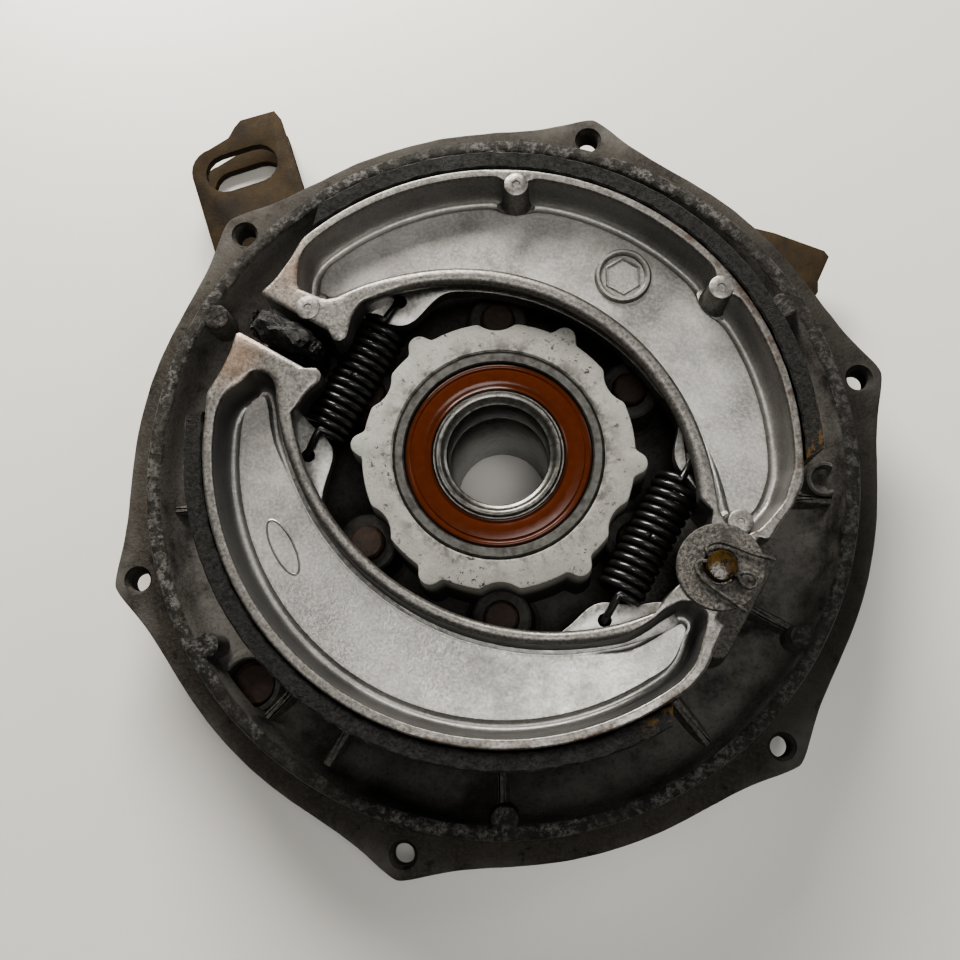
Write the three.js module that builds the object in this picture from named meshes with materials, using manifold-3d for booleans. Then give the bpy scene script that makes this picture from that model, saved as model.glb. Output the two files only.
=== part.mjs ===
// Drum brake panel assembly of a small off-road vehicle, in millimetres, +Z up.
// It lies on its back: z = 0 is the plane that it rests on, and the wheel axle's axis is upright.
// Everything is built round that axis, and then moved so that the origin is the footprint's middle.
// Two shoes, drawn together by two springs, swing on an anchor pin and are spread by a cam.

import * as THREE from "three";
import Module from "manifold-3d";
import { mergeVertices } from "three/addons/utils/BufferGeometryUtils.js";

const wasm = await Module();
wasm.setup();

// ---------------------------------------------------------------- driving dimensions

const GAP = 0.3; // between pieces that touch
const AXLE_Y = -6.24; // the axle's axis, seen from the middle of the footprint

// axle bearing, 28 x 58 x 16
const BORE_R = 14;
const BEARING_R = 29;
const BEARING_WIDTH = 16;

// heights above the resting plane
const HUB_FACE_Z = 66;
const RING_TOP_Z = 41.5;
const FLANGE_TOP_Z = 31.2;
const FLANGE_BOTTOM_Z = 21;
const PANEL_BACK_Z = 17;
const FLOOR_Z = 27;
const SHOE_TOP_Z = 74;
const SHOE_BOTTOM_Z = 45;
const WEB_TOP_Z = 62;
const WEB_BOTTOM_Z = 57;
const ANCHOR_BOSS_Z = 44;
const CAM_BOSS_Z = 42.5;
const BOLT_BOSS_Z = 49.5;

// panel
const HUB_R = 37.6;
const REAR_HUB_R = 33.5;
const RING_OUTER_R = 105.2;
const RING_INNER_R = 100.3;
const FLANGE_R = 112.4;
const EAR_HOLE_PITCH_R = 112.8;
const EAR_HOLE_R = 3.1;
const EAR_RISE = 7.8; // how far an ear's tip stands out of the flange
const EAR_SPREAD = 6.6; // degrees over which an ear fades into the flange
const EAR_POWER = 1.44; // 2 would be a soft bell, and 1 a sharp point
const EAR_ANGLES = [15, 75, 135, 195, 255, 315];

// bolts round the hub
const BOLT_PITCH_R = 43.6;
const BOLT_R = 4.9;
const BOLT_ANGLES = [30, 90, 150, 210, 270, 330];

// the line through the anchor pin and the cam runs at -30 degrees, with the anchor at its +X end
const SHOE_LINE = THREE.MathUtils.degToRad(-30);
const ANCHOR_X = 66.4;
const CAM_X = -68;

// shoes, in the frame of that line
const SHOE_DROP = 2.2; // how far the springs hold each shoe's arc inside the drum's circle
const TABLE_R = 83.2;
const TABLE_THICKNESS = 4.4;
const LINING_R = 88;
const INNER_EDGE_R = 64.8;
const INNER_EDGE_X = -1;
const INNER_EDGE_Y = -21.4;
const BEAD_WIDTH = 4.5;
const LAND_Y = 4.1;
const PIVOT_R = 7.6;
const EYE_X = 47.2; // the hole that takes a spring's hook
const EYE_Y = 25.5;
const EAR_R = 6.4;

// cam
const PIN_R = 7; // the anchor pin's thick part
const CAM_HALF_WIDTH = 8.7;
const CAM_HALF_THICKNESS = 3.7;
const CAMSHAFT_R = 7;
const CAM_TOP_Z = 71.5;
const ARM_LENGTH = 72;

// springs
const SPRING_R = 5.9; // to the middle of the wire
const SPRING_WIRE_R = 1.05;
const SPRING_Z = 60;
const SPRING_TURNS = 14;
const SPRING_PITCH = 2.55;

// steel mounting plate behind the panel, with its slotted lug
const PLATE_TOP_Z = 16.6;
const PLATE_THICKNESS = 3.4;
const LOWER_LUG_TOP_Z = 3.9;
const LUG_TURN = THREE.MathUtils.degToRad(17.5);
const LUG_CENTRE = new THREE.Vector2(-84.7, 109.3);
const SLOT_LENGTH = 24.4;
const SLOT_WIDTH = 13.3;

// ---------------------------------------------------------------- materials

function material(color, roughness, metalness) {
  return new THREE.MeshStandardMaterial({ color, roughness, metalness });
}

const CAST = material(0x6d6a64, 0.75, 0.6);
const SHOE_ALLOY = material(0xb4b3ae, 0.5, 0.8);
const LINING = material(0x3a3a3b, 0.9, 0.0);
const BEARING_STEEL = material(0x9a9892, 0.35, 0.95);
const SEAL = material(0x7a3a1c, 0.6, 0.0);
const RUBBER = material(0x202020, 0.8, 0.0);
const RUSTY = material(0x5d4a30, 0.85, 0.3);
const BLACK_STEEL = material(0x17181a, 0.4, 0.6);
const ZINC = material(0x8d8a82, 0.5, 0.8);

// ---------------------------------------------------------------- geometry helpers

// turns a closed geometry into a solid, with its faces pointing out
function solid(geometry) {
  const bare = geometry.clone();
  bare.deleteAttribute("normal");
  bare.deleteAttribute("uv");
  const merged = mergeVertices(bare, 1e-4);
  const position = merged.getAttribute("position");
  const index = Array.from(merged.index.array);
  const a = new THREE.Vector3();
  const b = new THREE.Vector3();
  const c = new THREE.Vector3();
  const triangles = [];
  let volume = 0;
  for (let i = 0; i < index.length; i += 3) {
    const [p, q, r] = index.slice(i, i + 3);
    if (p === q || q === r || p === r) continue;
    a.fromBufferAttribute(position, p);
    b.fromBufferAttribute(position, q);
    c.fromBufferAttribute(position, r);
    volume += a.dot(b.cross(c));
    triangles.push(p, q, r);
  }
  if (volume < 0) triangles.reverse();
  return new wasm.Manifold(
    new wasm.Mesh({
      numProp: 3,
      vertProperties: new Float32Array(position.array),
      triVerts: new Uint32Array(triangles),
    }),
  );
}

// a round bar along Z, standing at x, y
function bar(radius, bottom, top, x = 0, y = 0, segments = 32) {
  const geometry = new THREE.CylinderGeometry(radius, radius, top - bottom, segments);
  geometry.rotateX(Math.PI / 2);
  geometry.translate(x, y, (bottom + top) / 2);
  return solid(geometry);
}

// a body turned about Z from a profile of [radius, z] points, which closes on itself
function turned(profile, segments = 48) {
  const points = profile.map(([r, z]) => new THREE.Vector2(r, z));
  if (profile[0][0] > 0) points.push(points[0].clone());
  const geometry = new THREE.LatheGeometry(points, segments);
  geometry.rotateX(Math.PI / 2);
  return solid(geometry);
}

// an outline raised from one height to another
function plate(shape, bottom, top, curveSegments = 8) {
  const options = { depth: top - bottom, bevelEnabled: false, curveSegments };
  const geometry = new THREE.ExtrudeGeometry(shape, options);
  geometry.translate(0, 0, bottom);
  return solid(geometry);
}

function polygon(points) {
  return new THREE.Shape(points.map(([x, y]) => new THREE.Vector2(x, y)));
}

// points of an arc round x, y, from one angle to another in degrees
function arc(x, y, radius, from, to, steps) {
  return Array.from({ length: steps + 1 }, (unused, i) => {
    const angle = THREE.MathUtils.degToRad(from + ((to - from) * i) / steps);
    return [x + radius * Math.cos(angle), y + radius * Math.sin(angle)];
  });
}

// a slot or a bar with round ends, length end to end, lying along X round its centre
function stadium(length, width, steps = 8) {
  const reach = (length - width) / 2;
  return polygon([
    ...arc(reach, 0, width / 2, -90, 90, steps),
    ...arc(-reach, 0, width / 2, 90, 270, steps),
  ]);
}

// a round wire along a curve
function wire(curve, radius, steps, sides = 6, closed = false) {
  const section = polygon(arc(0, 0, radius, 0, 360 - 360 / sides, sides - 1));
  const options = { steps, extrudePath: curve, bevelEnabled: false };
  if (closed) curve.closed = true;
  return solid(new THREE.ExtrudeGeometry(section, options));
}

function polar(radius, degrees) {
  const angle = THREE.MathUtils.degToRad(degrees);
  return [radius * Math.cos(angle), radius * Math.sin(angle)];
}

function union(solids) {
  return solids.reduce((sum, next) => sum.add(next));
}

// moves a solid made about the Z axis or about the origin
function placed(body, x, y, z = 0, turn = 0) {
  return body.rotate([0, 0, THREE.MathUtils.radToDeg(turn)]).translate([x, y, z]);
}

function part(name, body, finish) {
  const mesh = body.getMesh();
  const geometry = new THREE.BufferGeometry();
  geometry.setAttribute("position", new THREE.BufferAttribute(mesh.vertProperties, 3));
  geometry.setIndex(new THREE.BufferAttribute(mesh.triVerts, 1));
  geometry.computeVertexNormals();
  const result = new THREE.Mesh(geometry, finish);
  result.name = name;
  return result;
}

// ---------------------------------------------------------------- brake panel

// radius of the flange's outline: a circle with six ears that fade into it
function flangeRadius(degrees) {
  let radius = FLANGE_R;
  for (const ear of EAR_ANGLES) {
    const away = ((degrees - ear + 540) % 360) - 180;
    radius += EAR_RISE * Math.exp(-((Math.abs(away) / EAR_SPREAD) ** EAR_POWER));
  }
  return radius;
}

function flange() {
  const step = 3.75;
  const points = [];
  for (let angle = 0; angle < 360; angle += step) {
    points.push(polar(flangeRadius(angle), angle));
  }
  return plate(polygon(points), FLANGE_BOTTOM_Z, FLANGE_TOP_Z)
    .subtract(bar(RING_OUTER_R - 2, 0, HUB_FACE_Z, 0, 0, 48));
}

// the turned bowl: rear hub, web, trough, ring and front hub
function bowl() {
  return turned(
    [
      [25, 0],
      [REAR_HUB_R, 0],
      [REAR_HUB_R, PANEL_BACK_Z],
      [60, PANEL_BACK_Z],
      [64, 20.5],
      [RING_OUTER_R, FLANGE_BOTTOM_Z],
      [RING_OUTER_R, RING_TOP_Z],
      [RING_INNER_R, RING_TOP_Z],
      [99, 35],
      [95, 29.5],
      [88, FLOOR_Z],
      [72, FLOOR_Z + 1],
      [60, 32],
      [HUB_R + 1.2, 33],
      [HUB_R, HUB_FACE_Z],
      [25, HUB_FACE_Z],
    ],
    48,
  );
}

// the anchor's boss: a rounded block, wider at its inner side
function anchorBossOutline() {
  const corner = 4;
  return polygon([
    ...arc(79, 13.5, corner, 0, 80, 3),
    ...arc(57.5, 14.5, corner, 90, 180, 3),
    ...arc(57.5, -14.5, corner, 180, 270, 3),
    ...arc(79, -13.5, corner, 280, 360, 3),
  ]);
}

function brakePanel() {
  const [drainX, drainY] = polar(95.6, 219);
  const adds = [bowl(), flange()];
  const cuts = [
    bar(BEARING_R + GAP / 2, HUB_FACE_Z - BEARING_WIDTH - GAP, HUB_FACE_Z + 1, 0, 0, 48),
    bar(26 + GAP, -1, 8, 0, 0, 36),
  ];
  for (const angle of EAR_ANGLES) {
    const [x, y] = polar(EAR_HOLE_PITCH_R, angle);
    adds.push(bar(7.3, PANEL_BACK_Z, FLANGE_TOP_Z, x, y, 14));
    cuts.push(bar(EAR_HOLE_R, 0, HUB_FACE_Z, x, y, 10));
    cuts.push(turned([[0, 30.2], [EAR_HOLE_R, 30.2], [4, 31.3], [0, 31.3]], 10).translate([x, y, 0]));
  }
  for (const angle of BOLT_ANGLES) {
    const [x, y] = polar(BOLT_PITCH_R, angle);
    adds.push(bar(8.4, PANEL_BACK_Z, BOLT_BOSS_Z, x, y, 16));
    cuts.push(bar(8.2, BOLT_BOSS_Z, HUB_FACE_Z + 1, x, y, 16));
    cuts.push(bar(BOLT_R + GAP, 0, BOLT_BOSS_Z + 1, x, y, 12));
  }
  // casting pads on the hub's edge, and on the ring's inner wall
  for (const angle of [60, 125, 175, 240, 305, 355]) {
    adds.push(bar(3.5, 32, HUB_FACE_Z, ...polar(HUB_R, angle), 10));
  }
  for (const angle of [30, 90, 150, 210, 270, 330]) {
    adds.push(bar(3.9, FLOOR_Z, RING_TOP_Z, ...polar(98.8, angle), 10));
  }
  // ribs across the trough
  for (const angle of [185, 238.5, 270, 306.7, 331, 355]) {
    const rib = plate(polygon([[84, -1], [101, -1], [101, 1], [84, 1]]), FLOOR_Z - 3, 32);
    adds.push(rib.rotate([0, 0, angle]));
  }
  // drain boss with its hole, and the anchor and cam bosses
  adds.push(bar(9.5, PANEL_BACK_Z + 3, 31, drainX, drainY, 18));
  cuts.push(bar(6.2, 0, 32, drainX, drainY, 16));
  const anchorBoss = plate(anchorBossOutline(), PANEL_BACK_Z, ANCHOR_BOSS_Z);
  adds.push(placed(anchorBoss, 0, 0, 0, SHOE_LINE));
  const camBoss = bar(13, PANEL_BACK_Z - 4, CAM_BOSS_Z, CAM_X, 0, 28);
  adds.push(placed(camBoss, 0, 0, 0, SHOE_LINE));
  cuts.push(placed(bar(CAMSHAFT_R + GAP, 0, 50, CAM_X, 0, 24), 0, 0, 0, SHOE_LINE));
  cuts.push(placed(bar(PIN_R + GAP, 30, 70, ANCHOR_X, 0, 24), 0, 0, 0, SHOE_LINE));
  return part("brake_panel", union(adds).subtract(union(cuts)), CAST);
}

// ---------------------------------------------------------------- axle bearing

const BEARING_TOP_Z = HUB_FACE_Z + 0.1;
const BEARING_BOTTOM_Z = BEARING_TOP_Z - BEARING_WIDTH;
const BALL_PITCH_R = 21.5;
const BALL_R = 4.5;
const BALL_COUNT = 9;
const RACE_INNER_R = 18; // outside of the inner ring
const RACE_OUTER_R = 25.6; // inside of the outer ring

function racePoints(radius, groove) {
  const middle = (BEARING_TOP_Z + BEARING_BOTTOM_Z) / 2;
  return [
    [radius, BEARING_BOTTOM_Z],
    [radius, middle - 4],
    [groove, middle],
    [radius, middle + 4],
    [radius, BEARING_TOP_Z],
  ];
}

function bearingParts() {
  const outer = turned(
    [...racePoints(RACE_OUTER_R, 26.5), [BEARING_R, BEARING_TOP_Z], [BEARING_R, BEARING_BOTTOM_Z]],
    40,
  );
  const inner = turned(
    [...racePoints(RACE_INNER_R, 16.6), [BORE_R, BEARING_TOP_Z], [BORE_R, BEARING_BOTTOM_Z]],
    32,
  );
  const seal = (bottom, top) =>
    turned([[18.4, bottom], [25.3, bottom], [25.3, top], [18.4, top]], 32);
  const middle = (BEARING_TOP_Z + BEARING_BOTTOM_Z) / 2;
  const balls = Array.from({ length: BALL_COUNT }, (unused, i) => {
    const [x, y] = polar(BALL_PITCH_R, (360 / BALL_COUNT) * i);
    return solid(new THREE.SphereGeometry(BALL_R, 6, 5)).translate([x, y, middle]);
  });
  const cage = turned([[20.6, middle - 1.5], [22.4, middle - 1.5], [22.4, middle + 1.5],
    [20.6, middle + 1.5]], 24);
  return [
    part("bearing_outer_ring", outer, BEARING_STEEL),
    part("bearing_inner_ring", inner, BEARING_STEEL),
    part("bearing_front_seal", seal(BEARING_TOP_Z - 2, BEARING_TOP_Z - 0.5), SEAL),
    part("bearing_rear_seal", seal(BEARING_BOTTOM_Z + 0.5, BEARING_BOTTOM_Z + 2), SEAL),
    part("bearing_balls_and_cage", union([cage, ...balls]), BEARING_STEEL),
  ];
}

function axleSpacer() {
  const top = BEARING_BOTTOM_Z - GAP;
  const body = turned([[BORE_R, 0.6], [18.5, 0.6], [18.5, top], [BORE_R, top]], 32);
  return part("axle_spacer", body, ZINC);
}

function rearOilSeal() {
  const body = turned([[18.8, 0.6], [26, 0.6], [26, 7.4], [18.8, 7.4]], 32);
  return part("rear_oil_seal", body, RUBBER);
}

// ---------------------------------------------------------------- shoes

// the upper shoe's outline in the shoe frame; the lower one's is its mirror image
function shoeOutline(side) {
  const points = [
    ...arc(0, -SHOE_DROP, TABLE_R, 20, 160, 30),
    [-76.5, 20],
    [-77.3, 11.5],
    [-79, LAND_Y],
    [-57, LAND_Y],
    [-54.5, 3.5],
    [-52, 5.5],
    [-52.6, 11],
    ...arc(INNER_EDGE_X, INNER_EDGE_Y, INNER_EDGE_R, 140, 36, 18),
    [59.3, 8.8],
    ...arc(ANCHOR_X, 0, PIVOT_R, 132, 52, 5),
    [73, 13],
    [75.4, 18],
  ];
  return polygon(points.map(([x, y]) => [x, side * y]));
}

// the hollow between a shoe's table and its inner bead
function trayOutline(side) {
  const points = [
    ...arc(0, -SHOE_DROP, TABLE_R - TABLE_THICKNESS, 24, 158, 22),
    [-72, 14.5],
    [-68.5, 10],
    [-63, 9.1],
    [-56.6, 15],
    ...arc(INNER_EDGE_X, INNER_EDGE_Y, INNER_EDGE_R + BEAD_WIDTH, 140, 37, 16),
    [60, 15],
    [68.4, 15],
  ];
  return polygon(points.map(([x, y]) => [x, side * y]));
}

function shoe(name, side) {
  const atEyes = (radius, bottom, top, segments) => {
    return union([-EYE_X, EYE_X].map((x) => bar(radius, bottom, top, x, side * EYE_Y, segments)));
  };
  const boltRoom = bar(54, SHOE_BOTTOM_Z - 1, 52.8, 0, 0, 48);
  const bay = (x) => {
    const half = SPRING_R + SPRING_WIRE_R + 0.8;
    const corners = [[x - half, 0], [x + half, 0], [x + half, side * 23], [x - half, side * 23]];
    return plate(polygon(corners), 50, 68.5);
  };
  const body = plate(shoeOutline(side), SHOE_BOTTOM_Z, SHOE_TOP_Z)
    .subtract(plate(trayOutline(side), WEB_TOP_Z, SHOE_TOP_Z + 1))
    .subtract(plate(trayOutline(side), SHOE_BOTTOM_Z - 1, WEB_BOTTOM_Z))
    .subtract(boltRoom)
    .subtract(bay(-EYE_X))
    .subtract(bay(EYE_X))
    .subtract(atEyes(3.2, 53, 70, 12))
    .add(atEyes(EAR_R, WEB_BOTTOM_Z, WEB_TOP_Z, 18))
    .subtract(atEyes(1.7, 50, 68, 10));
  return part(name, body, SHOE_ALLOY);
}

function lining(name, side) {
  const points = [
    ...arc(0, -SHOE_DROP, LINING_R, 31, 155, 26),
    ...arc(0, -SHOE_DROP, TABLE_R + GAP, 157, 29, 26),
  ];
  const outline = polygon(points.map(([x, y]) => [x, side * y]));
  return part(name, plate(outline, SHOE_BOTTOM_Z + 1, SHOE_TOP_Z - 1.5), LINING);
}

// ---------------------------------------------------------------- anchor

const PIN_SHOULDER_Z = SHOE_TOP_Z;
const SPLIT_PIN_Z = SHOE_TOP_Z + 3.3;

function anchorPin() {
  const top = SHOE_TOP_Z + 5.2;
  const hole = bar(1.1, -10, 10, 0, 0, 10).rotate([0, 90, 0]).translate([0, 0, SPLIT_PIN_Z]);
  const body = turned([[0, 30.6], [PIN_R, 30.6], [PIN_R, PIN_SHOULDER_Z], [4, PIN_SHOULDER_Z],
    [4, top - 0.7], [3.3, top], [0, top]], 24);
  return part("anchor_pin", body.subtract(hole).translate([ANCHOR_X, 0, 0]), ZINC);
}

function anchorWasher() {
  const bottom = PIN_SHOULDER_Z + GAP;
  const body = turned([[4.5, bottom], [11.4, bottom], [11.4, bottom + 1.6], [4.5, bottom + 1.6]], 32);
  return part("anchor_washer", body.translate([ANCHOR_X, 0, 0]), BLACK_STEEL);
}

// split pin through the anchor pin, with one leg bent round each side of it
function anchorSplitPin() {
  const at = (x, y) => new THREE.Vector3(x, y, SPLIT_PIN_Z);
  const leg = (side) => {
    const path = [at(6, 0), at(0, 0), at(-4.6, 0), at(-6.2, side * 2.4), at(-4, side * 5.4),
      at(0, side * 6.6), at(5.5, side * 6.8), at(11.2, side * 7.3)];
    return wire(new THREE.CatmullRomCurve3(path), 0.72, 20, 5);
  };
  const eye = turned([[1, -0.7], [2.6, -0.7], [2.6, 0.7], [1, 0.7]], 12).translate([7.6, 0, SPLIT_PIN_Z]);
  const body = union([leg(1), leg(-1), eye]);
  return part("anchor_split_pin", body.translate([ANCHOR_X, 0, 0]), BLACK_STEEL);
}

// ---------------------------------------------------------------- cam and its arm

const ARM_TURN = THREE.MathUtils.degToRad(262) - SHOE_LINE;

function camshaft() {
  const cam = plate(stadium(2 * CAM_HALF_WIDTH, 2 * CAM_HALF_THICKNESS), CAM_BOSS_Z + 1, CAM_TOP_Z);
  const collarBottom = CAM_BOSS_Z + GAP;
  const body = union([
    cam.translate([CAM_X, 0, 0]),
    bar(CAM_HALF_WIDTH, collarBottom, collarBottom + 1.6, CAM_X, 0, 24),
    bar(CAMSHAFT_R, 1, collarBottom + 0.5, CAM_X, 0, 24),
  ]);
  return part("camshaft", body, BLACK_STEEL);
}

function camshaftSeal() {
  const body = turned([[CAMSHAFT_R + GAP, 10.6], [11, 10.6], [11, 12.7], [CAMSHAFT_R + GAP, 12.7]], 28);
  return part("camshaft_dust_seal", body.translate([CAM_X, 0, 0]), RUBBER);
}

// the arm is made along +X from the shaft's axis, then turned
function atShaft(body) {
  return placed(body, CAM_X, 0, 0, ARM_TURN);
}

function brakeArm() {
  const outline = polygon([
    ...arc(0, 0, 11.5, 60, 300, 12),
    [ARM_LENGTH - 4, -6.5],
    ...arc(ARM_LENGTH, 0, 7, -80, 80, 8),
    [ARM_LENGTH - 4, 6.5],
  ]);
  const clampSlot = plate(polygon([[-16, -0.9], [0, -0.9], [0, 0.9], [-16, 0.9]]), 0, 12);
  const body = plate(outline, 2, 8)
    .add(plate(polygon([[-17, -7], [-8, -7], [-8, 7], [-17, 7]]), 2, 8))
    .subtract(clampSlot)
    .subtract(bar(CAMSHAFT_R + GAP, 0, 12, 0, 0, 28))
    .subtract(bar(4.1, 0, 12, ARM_LENGTH, 0, 16))
    .subtract(bar(2.6, -20, 20, 0, 0, 14).rotate([90, 0, 0]).translate([-13.5, 0, 5]));
  return part("brake_arm", atShaft(body), RUSTY);
}

function armPinchBolt() {
  const head = new THREE.CylinderGeometry(4.3, 4.3, 3.4, 6);
  const shank = bar(2.3, -9, 13.4, 0, 0, 14);
  const body = shank.add(solid(head).rotate([90, 0, 0]).translate([0, 0, -9]));
  return part("arm_pinch_bolt", atShaft(body.rotate([90, 0, 0]).translate([-13.5, 0, 5])), ZINC);
}

function armPinchNut() {
  const nut = solid(new THREE.CylinderGeometry(4.3, 4.3, 3.6, 6)).rotate([90, 0, 0]);
  const body = nut.subtract(bar(2.6, -9, 9, 0, 0, 14)).translate([0, 0, 9.3]);
  return part("arm_pinch_nut", atShaft(body.rotate([90, 0, 0]).translate([-13.5, 0, 5])), ZINC);
}

// thin pointer on the shaft that shows how far the linings have worn
function wearPointer() {
  const outline = polygon([...arc(0, 0, 10.5, 40, 320, 12), [19, -2], [19, 2]]);
  const body = plate(outline, 8.4, 9.6).subtract(bar(CAMSHAFT_R + GAP, 0, 12, 0, 0, 28));
  return part("wear_pointer", placed(body, CAM_X, 0, 0, ARM_TURN - Math.PI / 2), ZINC);
}

// ---------------------------------------------------------------- springs

class Helix extends THREE.Curve {
  getPoint(t, target = new THREE.Vector3()) {
    const angle = 2 * Math.PI * SPRING_TURNS * t;
    const along = (t - 0.5) * SPRING_TURNS * SPRING_PITCH;
    return target.set(SPRING_R * Math.sin(angle), along, SPRING_R * Math.cos(angle));
  }
}

// one hook, from the coil's end across to the eye and down through it
function hook(end) {
  const start = (end * SPRING_TURNS * SPRING_PITCH) / 2;
  const at = (y, z) => new THREE.Vector3(0, y, z);
  const over = WEB_TOP_Z - SPRING_Z + 1.8;
  return new THREE.CatmullRomCurve3([
    at(start, SPRING_R),
    at(start + end * 2.2, SPRING_R),
    at(start + end * 4.6, over + 1),
    at(end * EYE_Y - end, over),
    at(end * EYE_Y, over - 1.6),
    at(end * EYE_Y, WEB_BOTTOM_Z - SPRING_Z - 1),
  ]);
}

function spring(name, x) {
  const coil = wire(new Helix(), SPRING_WIRE_R, SPRING_TURNS * 7, 4);
  const body = union([coil, wire(hook(1), SPRING_WIRE_R, 9, 4), wire(hook(-1), SPRING_WIRE_R, 9, 4)]);
  return part(name, body.translate([x, 0, SPRING_Z]), BLACK_STEEL);
}

// ---------------------------------------------------------------- steel plate and its lugs

// the slotted lug's outline in its own frame: origin at the slot's centre, slot along X
function lugOutline(foot) {
  return [
    [17, foot],
    [17.3, 12.5],
    [15.9, 16.2],
    [4.2, 16.6],
    [1.6, 14.8],
    [-1.4, 11.8],
    [-8.5, 9.9],
    ...arc(-8.4, 1.8, 8.1, 90, 180, 6),
    [-16.5, foot],
  ];
}

function lugPlate(foot, top) {
  return placed(
    plate(polygon(lugOutline(foot)), top - PLATE_THICKNESS, top)
      .subtract(plate(stadium(SLOT_LENGTH, SLOT_WIDTH), 0, 30)),
    LUG_CENTRE.x,
    LUG_CENTRE.y,
    0,
    LUG_TURN,
  );
}

function mountingPlate() {
  const bottom = PLATE_TOP_Z - PLATE_THICKNESS;
  const corner = polygon([[30, -30], [62, 20], [96, 56], [102, 62], [102.2, 65.5], [106.2, 73.8],
    [104.8, 75.8], [89.4, 82.2], [80, 85], [40, 62], [0, 54], [-30, 45]]);
  const tie = polygon([[-45, -20], [0, 50], [-38, 82], [-60, 92], [-90, 78], [-82, 60]]);
  const body = union([
    bar(56, bottom, PLATE_TOP_Z, 0, 0, 36),
    plate(corner, bottom, PLATE_TOP_Z),
    plate(tie, bottom, PLATE_TOP_Z),
    lugPlate(-34, PLATE_TOP_Z),
  ]);
  const holes = BOLT_ANGLES.map((angle) => {
    return bar(BOLT_R + GAP, 0, 30, ...polar(BOLT_PITCH_R, angle), 12);
  });
  const camClearance = placed(bar(14, 0, 30, CAM_X, 0, 20), 0, 0, 0, SHOE_LINE);
  const cuts = union([bar(REAR_HUB_R + 0.5, 0, 30, 0, 0, 36), camClearance, ...holes]);
  return part("mounting_plate", body.subtract(cuts), RUSTY);
}

// second lug, parallel to the first, with the flat web that joins it to the mounting plate
function lowerLug() {
  const web = plate(polygon([[-12, -33.6], [12, -33.6], [12, -30.4], [-12, -30.4]]),
    LOWER_LUG_TOP_Z - PLATE_THICKNESS, PLATE_TOP_Z - PLATE_THICKNESS - GAP);
  const body = lugPlate(-34, LOWER_LUG_TOP_Z).add(placed(web, LUG_CENTRE.x, LUG_CENTRE.y, 0, LUG_TURN));
  return part("lower_slotted_lug", body, RUSTY);
}

// ---------------------------------------------------------------- fasteners

function mountingBolt(number, angle) {
  const headTop = PLATE_TOP_Z - PLATE_THICKNESS - GAP;
  const head = solid(new THREE.CylinderGeometry(8.6, 8.6, 6.2, 6)).rotate([90, 0, 0]);
  const shank = turned([[0, headTop - 1], [BOLT_R, headTop - 1], [BOLT_R, 51], [BOLT_R - 0.8, 51.8],
    [0, 51.8]], 14);
  const body = shank.add(head.translate([0, 0, headTop - 3.1]));
  return part(`mounting_bolt_${number}`, body.translate([...polar(BOLT_PITCH_R, angle), 0]), RUSTY);
}

function drainPlug() {
  const body = turned([[0, 13], [7.6, 13], [7.6, PANEL_BACK_Z + 2.6], [5.9, PANEL_BACK_Z + 2.6],
    [5.9, 25], [0, 25]], 18);
  return part("drain_plug", body.translate([...polar(95.6, 219), 0]), RUSTY);
}

// ---------------------------------------------------------------- assembly

const assembly = new THREE.Group();
assembly.add(brakePanel());
bearingParts().forEach((piece) => assembly.add(piece));
assembly.add(axleSpacer());
assembly.add(rearOilSeal());
assembly.add(mountingPlate());
assembly.add(lowerLug());
BOLT_ANGLES.forEach((angle, i) => assembly.add(mountingBolt(i + 1, angle)));
assembly.add(drainPlug());

// everything placed about the line through the anchor and the cam
const shoeLine = new THREE.Group();
shoeLine.rotation.z = SHOE_LINE;
shoeLine.add(shoe("upper_shoe", 1));
shoeLine.add(lining("upper_lining", 1));
shoeLine.add(shoe("lower_shoe", -1));
shoeLine.add(lining("lower_lining", -1));
shoeLine.add(anchorPin());
shoeLine.add(anchorWasher());
shoeLine.add(anchorSplitPin());
shoeLine.add(camshaft());
shoeLine.add(camshaftSeal());
shoeLine.add(brakeArm());
shoeLine.add(armPinchBolt());
shoeLine.add(armPinchNut());
shoeLine.add(wearPointer());
shoeLine.add(spring("cam_side_spring", -EYE_X));
shoeLine.add(spring("anchor_side_spring", EYE_X));
assembly.add(shoeLine);
assembly.position.y = AXLE_Y;

const model = new THREE.Group();
model.add(assembly);

export default model;
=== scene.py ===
"""Looks of a drum brake panel that lies on its back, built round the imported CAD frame.

Shapes are worked out in millimetres from the axle's axis, with z = 0 at the floor. The shoe line is
the line from the cam to the anchor pin, and whatever lies along it is made with that line as its X axis.
"""

import math

import bmesh
import bpy
import numpy as np
from mathutils import Matrix, Vector, noise


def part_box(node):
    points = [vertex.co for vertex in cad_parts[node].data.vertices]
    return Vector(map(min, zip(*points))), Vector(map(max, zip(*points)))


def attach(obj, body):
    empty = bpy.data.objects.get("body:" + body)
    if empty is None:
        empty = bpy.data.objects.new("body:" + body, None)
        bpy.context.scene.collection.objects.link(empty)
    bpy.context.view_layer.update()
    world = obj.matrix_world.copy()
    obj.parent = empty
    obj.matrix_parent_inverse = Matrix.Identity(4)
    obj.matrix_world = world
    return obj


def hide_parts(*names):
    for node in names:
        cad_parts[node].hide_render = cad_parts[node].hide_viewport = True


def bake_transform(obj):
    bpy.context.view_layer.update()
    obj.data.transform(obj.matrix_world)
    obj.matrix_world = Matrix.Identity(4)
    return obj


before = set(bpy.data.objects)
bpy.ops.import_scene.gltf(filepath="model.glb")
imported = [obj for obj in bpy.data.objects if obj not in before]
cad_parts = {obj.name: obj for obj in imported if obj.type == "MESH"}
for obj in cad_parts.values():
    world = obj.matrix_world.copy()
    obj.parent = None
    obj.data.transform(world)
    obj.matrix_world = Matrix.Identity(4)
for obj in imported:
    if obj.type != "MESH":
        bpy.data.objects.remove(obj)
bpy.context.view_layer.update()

# ------ named values, in millimetres and degrees

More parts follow.
